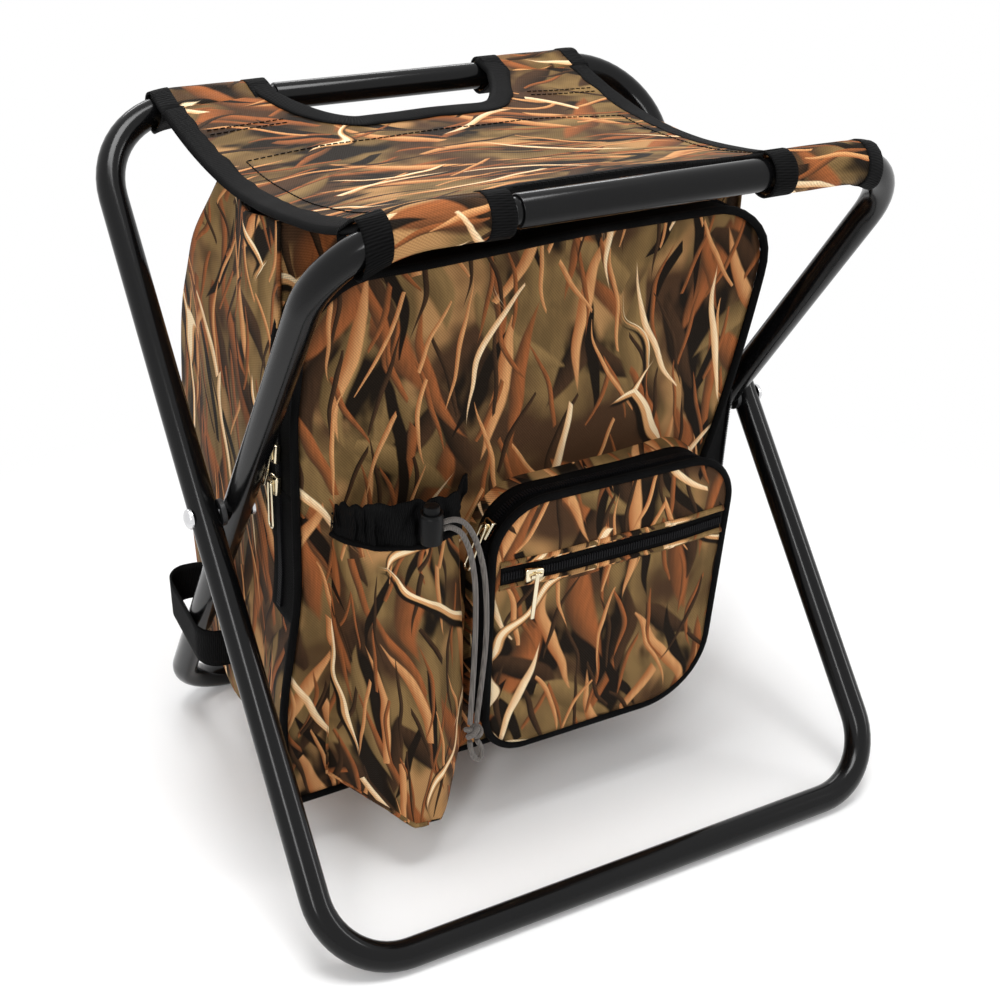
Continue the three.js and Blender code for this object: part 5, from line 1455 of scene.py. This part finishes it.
class STOOL_OT_front(bpy.types.Operator):
    """Make the front panel with its flap, the piping, the zip band and the flap's lining"""

    bl_idname = "stool.front"
    bl_label = "Front panel"

    def execute(self, context):
        sizes = context.scene.stool_sizes
        self.make_panel(sizes)
        self.make_piping(sizes)
        self.make_zip(sizes)
        self.make_linings(sizes)
        return {"FINISHED"}

    def make_panel(self, sizes):
        corner_foot = PANEL_HEIGHT - PANEL_CORNER
        corner_row = 0.75

        def place(u, v):
            if v < corner_row:
                up = v / corner_row * corner_foot
            else:
                turn = (v - corner_row) / (1 - corner_row) * math.pi / 2
                up = corner_foot + PANEL_CORNER * math.sin(turn)
            inset = PANEL_HALF - panel_half(up) + 1 * MM
            x = mix(inset - side_x(0, up, -1, sizes), side_x(0, up, 1, sizes) - inset, u)
            bulge = sizes.panel_bulge * hump(u) ** 0.7 * panel_swell(x, up)
            return on_panel(x, bulge, up + top_tilt(x, up)), (x, up)

        panel = cloth("front_panel", 72, 84, place, MATERIALS["camouflage"], 2 * MM, (0.2, 0.15), BAG_CENTRE)
        bridge_bodies(panel, ("bag", "lid"), *LID_BLEND, "camouflage", "bag_lower_front", "lid_flap")

    def rim_points(self, offset, depth, sizes):
        """A closed line round the front panel: the arch, then back along the foot."""
        route = arch_route(6 * MM)
        points = []
        count = 120
        for i in range(count + 1):
            place, outward = route.at(i / count * route.length)
            points.append(on_rim(place, outward, depth, offset, sizes))
        right, left = side_x(0, 0, 1, sizes) - 4 * MM, 4 * MM - side_x(0, 0, -1, sizes)
        foot = 16
        for i in range(foot + 1):
            x = mix(right, left, i / foot)
            points.append(on_panel(x, -depth, -offset + 1.2 * MM * hump(i / foot)))
        return points

    def make_piping(self, sizes):
        radius = sizes.piping / 2
        points = self.rim_points(radius - 0.8 * MM, -0.6 * MM, sizes)
        piping = tube_along("front_piping", points, radius, MATERIALS["binding"], closed=True)
        bridge_bodies(piping, ("bag", "lid"), *LID_BLEND, "black_cloth", "lower_piping", "lid_piping")

    def band(self, name, foot, near, far, rise, thickness, sizes, body, *nodes):
        """A strip of zip tape round the arch of the front panel, down to a height."""
        route = arch_route(foot)

        def place(u, v):
            spot, outward = route.at(u * route.length)
            depth = mix(near, far, v)
            return on_rim(spot, outward, depth, rise, sizes), (u * route.length, depth)

        piece = cloth(name, 120, 5, place, MATERIALS["tape"], thickness, centre=BAG_CENTRE)
        return dress(piece, body, "black_cloth", *nodes)

    def make_zip(self, sizes):
        foot = HINGE_HEIGHT + 0.4 * MM
        self.band("flap_band", foot, 3 * MM, ZIP_DEPTH - 2.5 * MM, 0.6 * MM, 1.6 * MM, sizes,
                  "lid", "zip_tape_lid")
        self.band("bag_band", foot, ZIP_DEPTH + 2.5 * MM, MOUTH_DEPTH, 0.6 * MM, 1.6 * MM, sizes,
                  "bag", "zip_gusset", "zip_tape_bag")
        self.band("mouth_tape", foot, ZIP_DEPTH - 2.6 * MM, ZIP_DEPTH + 2.7 * MM, -0.2 * MM, 1.0 * MM, sizes,
                  "bag")
        for side, sign in (("left", -1), ("right", 1)):
            self.lower_zip(side, sign, sizes)
        route = arch_route(foot)
        for body, shift, name in (("lid", -1.1 * MM, "flap"), ("bag", 1.1 * MM, "bag")):
            def walk(distance, shift=shift):
                place, outward = route.at(distance)
                point = on_rim(place, outward, ZIP_DEPTH + shift, 1.1 * MM, sizes)
                return point, Vector((outward.x, 0, outward.z))
            zip_teeth(f"zip_teeth_{name}", walk, route.length, body, CHAIN_WIDTH / 2)

    def lower_zip(self, side, sign, sizes):
        """The closed zip below the flap's hinge, on one side of the bag."""
        height = HINGE_HEIGHT - ZIP_END

        def place(u, v):
            up = ZIP_END + height * u
            depth = mix(3 * MM, MOUTH_DEPTH, v)
            end = 1.5 * MM * hump(v) * (1 - u)
            half = side_x(depth, up, sign, sizes) + 0.7 * MM
            return on_panel(sign * half, -depth, up - end), (up, depth)

        tape = cloth(f"lower_band_{side}", 24, 10, place, MATERIALS["tape"], 1.6 * MM, centre=BAG_CENTRE)
        dress(tape, "bag", "black_cloth", f"zip_tape_lower_{side}")

        def walk(distance):
            up = ZIP_END + 3 * MM + distance
            half = side_x(ZIP_DEPTH, up, sign, sizes) + 1.2 * MM
            return on_panel(sign * half, -ZIP_DEPTH, up), Vector((sign, 0, 0))

        zip_teeth(f"zip_teeth_lower_{side}", walk, height - 3 * MM, "bag")

    def make_linings(self, sizes):
        route = arch_route(HINGE_HEIGHT + 1 * MM)

        def mouth(u, v):
            place, outward = route.at(u * route.length)
            inward = mix(-1 * MM, 11 * MM, v)
            depth = MOUTH_DEPTH + 1.5 * MM * hump(v)
            return on_rim(place, outward, depth, -inward, sizes), (u * route.length, inward)

        def shoulder(u, v):
            place, outward = route.at(u * route.length)
            reach = min(gap / max(abs(part), 0.01) for gap, part in
                        [(BAG_TOP - 2 * MM - place.z, outward.z), (PANEL_HALF - abs(place.x), outward.x)]
                        if abs(part) > 0.01)
            point = on_rim(place, outward, MOUTH_DEPTH, reach * v - 1 * MM, sizes)
            return point, (u * route.length, reach * v)

        front = cloth("bag_shoulders", 120, 5, shoulder, MATERIALS["camouflage"], 1.5 * MM, (1.9, 0.8),
                      BAG_CENTRE)
        dress(front, "bag", "camouflage")

        rim = cloth("mouth_binding", 120, 6, mouth, MATERIALS["binding"], 2 * MM, centre=BAG_CENTRE)
        dress(rim, "bag", "black_cloth", "bag_mouth_frame")

        def lid_back(u, v):
            up = mix(HINGE_HEIGHT + 4 * MM, PANEL_HEIGHT - 4 * MM, v)
            inset = PANEL_HALF - panel_half(up) + 4 * MM
            x = mix(inset - side_x(8 * MM, up, -1, sizes), side_x(8 * MM, up, 1, sizes) - inset, u)
            quilt = 1.6 * MM * abs(math.sin(x / (22 * MM)) * math.sin(up / (22 * MM)))
            return on_panel(x, -8 * MM - quilt + 4 * MM * hump(u) * hump(v), up + top_tilt(x, up)), (x, up)

        lining = cloth("flap_lining", 72, 40, lid_back, MATERIALS["lining"], 2 * MM,
                       centre=on_panel(0, 100 * MM, 250 * MM))
        dress(lining, "lid", "foil", "lid_foam", "lid_liner")


# Front pocket


def pocket_route(offset):
    points = rounded_outline(POCKET_CORNERS, POCKET_RADII, 10)
    places = [Vector((p.x * MM + d.x * offset, 0, p.y * MM + d.y * offset)) for p, d in points]
    return Route(places, [Vector((d.x, 0, d.y)) for _, d in points], True)


class STOOL_OT_pocket(bpy.types.Operator):
    """Make the boxed pocket, its face, piping and zips"""

    bl_idname = "stool.pocket"
    bl_label = "Front pocket"

    def execute(self, context):
        sizes = context.scene.stool_sizes
        self.wall("pocket_wall", -3 * MM, POCKET_GUSSET, "camouflage", "camouflage",
                  "pocket_gusset", 1.5 * MM)
        self.wall("pocket_zip_wall", POCKET_GUSSET, POCKET_ZIP + 0.6 * MM, "tape", "black_cloth",
                  "pocket_zip_gusset", -0.8 * MM)
        self.teeth()
        self.face()
        self.piping(sizes)
        self.face_zip()
        return {"FINISHED"}

    def wall(self, name, near, far, material, slot, node, belly):
        route = pocket_route(0)

        def place(u, v):
            spot, outward = route.at(u * route.length)
            out = mix(near, far, v)
            lift = belly * hump(v) + rumple((spot.x, out, spot.z), 0.03, 0.8 * MM)
            point = on_panel(spot.x + outward.x * lift, out, spot.z + outward.z * lift)
            return point, (u * route.length, out)

        piece = cloth(name, 160, 8, place, MATERIALS[material], 1.6 * MM, (7.7, 2.9), POCKET_CENTRE)
        dress(piece, "bag", slot, node)

    def teeth(self):
        route = pocket_route(0)
        middle = mix(POCKET_GUSSET, POCKET_ZIP, 0.55)

        def walk(distance):
            spot, outward = route.at(distance)
            return on_panel(spot.x + outward.x * 0.3 * MM, middle, spot.z + outward.z * 0.3 * MM), outward

        zip_teeth("pocket_zip_teeth", walk, route.length, "bag", height=1.4 * MM)

    def crown(self, x, up):
        """How far the padded face stands out at a place on it."""
        share = max(abs(x - POCKET_MIDDLE_X) / (78 * MM), abs(up - POCKET_MIDDLE_UP) / (82 * MM))
        return 3.5 * MM * (1 - smooth(share) ** 2)

    def face(self):
        route = pocket_route(0.5 * MM)
        centre = Vector((POCKET_MIDDLE_X, 0, POCKET_MIDDLE_UP))

        def place(u, v):
            reach = route.at(u * route.length)[0].lerp(centre, v)
            slack = rumple((reach.x, 5, reach.z), 0.04, 0.8 * MM)
            out = POCKET_FRONT - 1.2 * MM + self.crown(reach.x, reach.z) + slack
            return on_panel(reach.x, out, reach.z), (reach.x, reach.z)

        face = cloth("pocket_front", 160, 24, place, MATERIALS["camouflage"], 0, (8.4, 5.6), POCKET_CENTRE)
        thicken(face, 4 * MM)
        dress(face, "pocket_lid", "camouflage", "pocket_face")

    def piping(self, sizes):
        radius = sizes.piping / 2
        route = pocket_route(radius - 0.5 * MM)
        points = []
        count = 200
        for i in range(count):
            spot = route.at(i / count * route.length)[0]
            points.append(on_panel(spot.x, POCKET_FRONT - radius + 0.3 * MM, spot.z))
        piping = tube_along("pocket_edge_piping", points, radius, MATERIALS["binding"], closed=True)
        dress(piping, "pocket_lid", "black_cloth", "pocket_piping")

    def face_zip(self):
        left, right = -45 * MM, 100 * MM

        def place(u, v):
            x = mix(left, right, u)
            up = FACE_ZIP + mix(-6 * MM, 6 * MM, v)
            return on_panel(x, POCKET_FRONT - 0.3 * MM + self.crown(x, up), up), (x, up)

        tape = cloth("face_zip_band", 60, 6, place, MATERIALS["tape"], 0, centre=POCKET_CENTRE)
        thicken(tape, 1 * MM)
        dress(tape, "pocket_lid", "black_cloth", "face_zip_tape")

        def walk(distance):
            x = left + distance
            return on_panel(x, POCKET_FRONT + 0.3 * MM + self.crown(x, FACE_ZIP), FACE_ZIP), PANEL_OUT

        zip_teeth("face_zip_teeth", walk, right - left, "pocket_lid", 4.6 * MM)
        for up, name in ((FACE_ZIP + 7.2 * MM, "upper"), (FACE_ZIP - 7.2 * MM, "lower")):
            def line(u, up=up):
                x = mix(left - 1 * MM, right + 1 * MM, u)
                return on_panel(x, POCKET_FRONT + self.crown(x, up) - 0.6 * MM, up)
            fold = rolled_edge(f"face_zip_welt_{name}", line, 1.7 * MM, (8.4, 5.6))
            dress(fold, "pocket_lid", "camouflage")


# Bottle pouch


class STOOL_OT_pouch(bpy.types.Operator):
    """Make the bottle pouch and its gathered collar"""

    bl_idname = "stool.pouch"
    bl_label = "Bottle pouch"

    # Rings up the pouch, each from its left seam round the front to its right seam: x, out and height.
    # The third place is a fold that runs from the upper left to the foot, the fourth one beside the cords.
    RINGS = [
        [(-132, 0, 12), (-114, 47, 13), (-101, 52, 1), (-84, 51, -2), (-62, 24, 4), (-54, 0, 9)],
        [(-132, 0, 45), (-117, 37, 41), (-102, 50, 37), (-80, 45, 40), (-60, 28, 42), (-52, 0, 44)],
        [(-130, 0, 105), (-123, 22, 105), (-111, 41, 105), (-85, 44, 105), (-62, 29, 105), (-51, 0, 105)],
        [(-128, 0, 172), (-125, 15, 174), (-117, 33, 178), (-94, 45, 180), (-69, 33, 178), (-54, 0, 172)],
    ]

    def execute(self, context):
        self.body()
        self.collar()
        return {"FINISHED"}

    def wall_point(self, u, share):
        """A place on the pouch as x, out and height: soft curves drawn most of the way to straight folds."""
        ring = [through(points, u).lerp(straight(points, u), 0.65) for points in self.RINGS]
        x, out, height = through(ring, share) * MM
        slack = hump(u) * rumple((u * 0.2, share * 0.2, 3), 0.03, 2.4 * MM)
        return x, max(0.5 * MM, out + slack), height

    def body(self):
        def place(u, v):
            x, out, height = self.wall_point(u, v)
            return on_panel(x, out, height), (u * 0.15, height)

        body = cloth("bottle_pouch", 96, 64, place, MATERIALS["camouflage"], 1.6 * MM, (4.4, 7.3),
                     POUCH_CENTRE)
        dress(body, "bag", "camouflage", "pouch_body")

        def base(u, v):
            x, out, height = self.wall_point(u, 0.0)
            centre = on_panel(POUCH_X, 12 * MM, 8 * MM)
            return on_panel(x, out, height).lerp(centre, v), (x, out * (1 - v))

        floor = cloth("bottle_pouch_base", 48, 8, base, MATERIALS["camouflage"], 1.2 * MM, (2.4, 6.3),
                      POUCH_CENTRE)
        dress(floor, "bag", "camouflage")

        edges = [("seam", lambda t: (0, t), 1.5), ("hem", lambda t: (mix(0, 0.5, t), 0), 1.4)]
        for name, way, radius in edges:
            def line(t, way=way):
                return on_panel(*self.wall_point(*way(t)))
            edge = rolled_edge(f"bottle_pouch_{name}", line, radius * MM, (4.9, 7.9))
            dress(edge, "bag", "camouflage")

    def collar(self):
        def place(u, v):
            x, out, height = self.wall_point(u, 1.0)
            rise = mix(-2 * MM, mix(17, 23, hump(u)) * MM, v)
            gather = 2.2 * MM * math.sin(u * 64 + 2.2 * math.sin(u * 19) + 1.5 * v)
            gather += rumple((u * 0.16, 0.03 * v, 5), 0.008, 4 * MM)
            out = max(0.6 * MM, out * (1 - 0.10 * v) + gather * hump(0.12 + 0.8 * v) + 1.0 * MM)
            x = POUCH_X + (x - POUCH_X) * (1 - 0.05 * v) + 9 * MM * v * smooth((u - 0.7) / 0.3)
            ragged = v * rumple((u * 0.16, 0, 8), 0.012, 5 * MM)
            return on_panel(x, out, height + rise + ragged), (u * 0.16, rise)

        collar = cloth("pouch_gathered_collar", 200, 14, place, MATERIALS["binding"], 1.2 * MM,
                       centre=POUCH_CENTRE)
        dress(collar, "bag", "black_cloth", "pouch_collar")

        def hem(u):
            x, out, height = self.wall_point(u, 1.0)
            return on_panel(x, out + 0.8 * MM, height - 0.5 * MM)

        steps = 80
        route = [hem(i / steps) for i in range(steps + 1)]
        casing = tube_along("pouch_rim_casing", route, 1.6 * MM, MATERIALS["binding"])
        dress(casing, "bag", "black_cloth")


# Zip sliders


class STOOL_OT_sliders(bpy.types.Operator):
    """Make the four zip sliders and their pulls"""

    bl_idname = "stool.sliders"
    bl_label = "Zip sliders"

    def execute(self, context):
        wall = Matrix.Rotation(-math.pi / 2, 4, "Z")
        angle = math.radians(158)
        outward = Vector((math.cos(angle), 0, math.sin(angle)))
        down = Vector((-outward.z, 0, outward.x))
        corner = Matrix((outward.cross(down), -outward, -down)).transposed().to_4x4()
        arc_x, arc_up, arc_radius = -23 * MM, 158 * MM, 25 * MM
        corner_place = (arc_x + outward.x * arc_radius, -28.8 * MM, arc_up + outward.z * arc_radius)
        # Each: name, body, place, turn, swing of the pull and sideways turn of the slider in degrees
        places = [
            ("upper_zip", "upper", (-146.2 * MM, ZIP_DEPTH, 214 * MM), wall, 26, 0),
            ("lower_zip", "lower", (-146.2 * MM, ZIP_DEPTH, 195 * MM), wall, 0, 0),
            ("face_zip", "face", (-27 * MM, -40.2 * MM, FACE_ZIP), Matrix.Identity(4), 4, 90),
            ("pocket_zip", "pocket", corner_place, corner, 0, 0),
        ]
        for name, body, place, turn, swing, sideways in places:
            matrix = PANEL_FRAME @ Matrix.Translation(place) @ turn
            self.slider(name, f"{body}_slider", matrix @ Matrix.Rotation(math.radians(-sideways), 4, "Y"))
            self.pull(name, f"{body}_pull", matrix @ Matrix.Rotation(math.radians(swing), 4, "Y"))
        return {"FINISHED"}

    def slider(self, name, body, matrix):
        bm = bmesh.new()
        cube = bmesh.ops.create_cube(bm, size=1)["verts"]
        bmesh.ops.scale(bm, vec=(8.6 * MM, 4.2 * MM, 11.5 * MM), verts=cube)
        bmesh.ops.translate(bm, vec=(0, -2.6 * MM, 0), verts=cube)
        for vert in cube:
            if vert.co.z < 0:
                vert.co.x *= 0.62
        soften(bm, bm.edges[:], 1.3 * MM, 3)
        # The bridge that holds the pull
        arch = bmesh.ops.create_cube(bm, size=1)["verts"]
        bmesh.ops.scale(bm, vec=(2.6 * MM, 2.6 * MM, 7.5 * MM), verts=arch)
        bmesh.ops.translate(bm, vec=(0, -5.4 * MM, 0), verts=arch)
        edges = list({edge for vert in arch for edge in vert.link_edges})
        soften(bm, edges, 0.9 * MM, 2)
        bmesh.ops.transform(bm, matrix=matrix, verts=bm.verts[:])
        piece = make_object(f"{name}_slider_body", bm, MATERIALS["zip_metal"])
        crease(piece, 40)
        dress(piece, body, "zip_metal", f"{name}_slider")

    def pull(self, name, body, matrix):
        """A long open link, round at both ends, or a slim bar on the pocket's face."""
        if name == "face_zip":
            bm = bmesh.new()
            verts = bmesh.ops.create_cube(bm, size=1)["verts"]
            bmesh.ops.scale(bm, vec=(2.6 * MM, 1.3 * MM, 29 * MM), verts=verts)
            bmesh.ops.translate(bm, vec=(0, -6.6 * MM, -12.5 * MM), verts=verts)
            soften(bm, bm.edges[:], 0.6 * MM, 3)
            bmesh.ops.transform(bm, matrix=matrix, verts=bm.verts[:])
            piece = make_object(f"{name}_pull_bar", bm, MATERIALS["zip_metal"])
        else:
            outline = rounded_outline([(-2.8, -24.5), (2.8, -24.5), (2.2, 2.8), (-2.2, 2.8)],
                                      [2.6, 2.6, 2.1, 2.1], 6)
            points = [matrix @ Vector((p.x * MM, -6.3 * MM, p.y * MM)) for p, _ in outline]
            piece = tube_along(f"{name}_pull_link", points, 0.75 * MM, MATERIALS["zip_metal"], closed=True)
        dress(piece, body, "zip_metal", f"{name}_pull")


# Webbing


class STOOL_OT_webbing(bpy.types.Operator):
    """Make the webbing loops that tie the bag to the rear legs"""

    bl_idname = "stool.webbing"
    bl_label = "Webbing"

    def execute(self, context):
        outline = rounded_outline([(141, 56), (170.5, 58), (170.5, 124), (141, 122)], [9, 13, 13, 10], 8)
        for side, sign in (("left", -1), ("right", 1)):
            places = [Vector((sign * p.x * MM, p.y * MM, 0)) for p, _ in outline]
            outward = [Vector((sign * d.x, d.y, 0)) for _, d in outline]
            route = Route(places, outward, True)

            def place(u, v):
                spot = route.at(u * route.length)[0]
                slope = 0.22 * (spot.y - 90 * MM)
                z = 95 * MM + mix(-12 * MM, 12 * MM, v) + slope
                return Vector((spot.x, spot.y, z)), (u * route.length, v * 24 * MM)

            strap = cloth(f"webbing_strap_{side}", 90, 6, place, MATERIALS["binding"], 1.4 * MM)
            fold_flat(dress(strap, "bag", "black_cloth", f"webbing_loop_{side}"))
        return {"FINISHED"}


class STOOL_PT_panel(bpy.types.Panel):
    """Lists the stool's operators"""

    bl_idname = "STOOL_PT_panel"
    bl_label = "Folding Cooler Stool"
    bl_space_type = "VIEW_3D"
    bl_region_type = "UI"
    bl_category = "Stool"

    def draw(self, context):
        for operator in OPERATORS:
            self.layout.operator(operator.bl_idname)


OPERATORS = (
    STOOL_OT_stage,
    STOOL_OT_drawcord,
    STOOL_OT_loops,
    STOOL_OT_seat,
    STOOL_OT_bag,
    STOOL_OT_front,
    STOOL_OT_pocket,
    STOOL_OT_pouch,
    STOOL_OT_sliders,
    STOOL_OT_webbing,
)
CLASSES = (StoolSizes, StoolColours, *OPERATORS, STOOL_PT_panel)


def register():
    for item in CLASSES:
        bpy.utils.register_class(item)
    bpy.types.Scene.stool_sizes = PointerProperty(type=StoolSizes)
    bpy.types.Scene.stool_colours = PointerProperty(type=StoolColours)


def unregister():
    del bpy.types.Scene.stool_colours
    del bpy.types.Scene.stool_sizes
    for item in reversed(CLASSES):
        bpy.utils.unregister_class(item)


def main():
    register()
    make_materials(bpy.context.scene)
    bpy.ops.stool.stage()
    bpy.ops.stool.drawcord()
    bpy.ops.stool.loops()
    bpy.ops.stool.seat()
    bpy.ops.stool.bag()
    bpy.ops.stool.front()
    bpy.ops.stool.pocket()
    bpy.ops.stool.pouch()
    bpy.ops.stool.sliders()
    bpy.ops.stool.webbing()


if __name__ == "__main__":
    main()
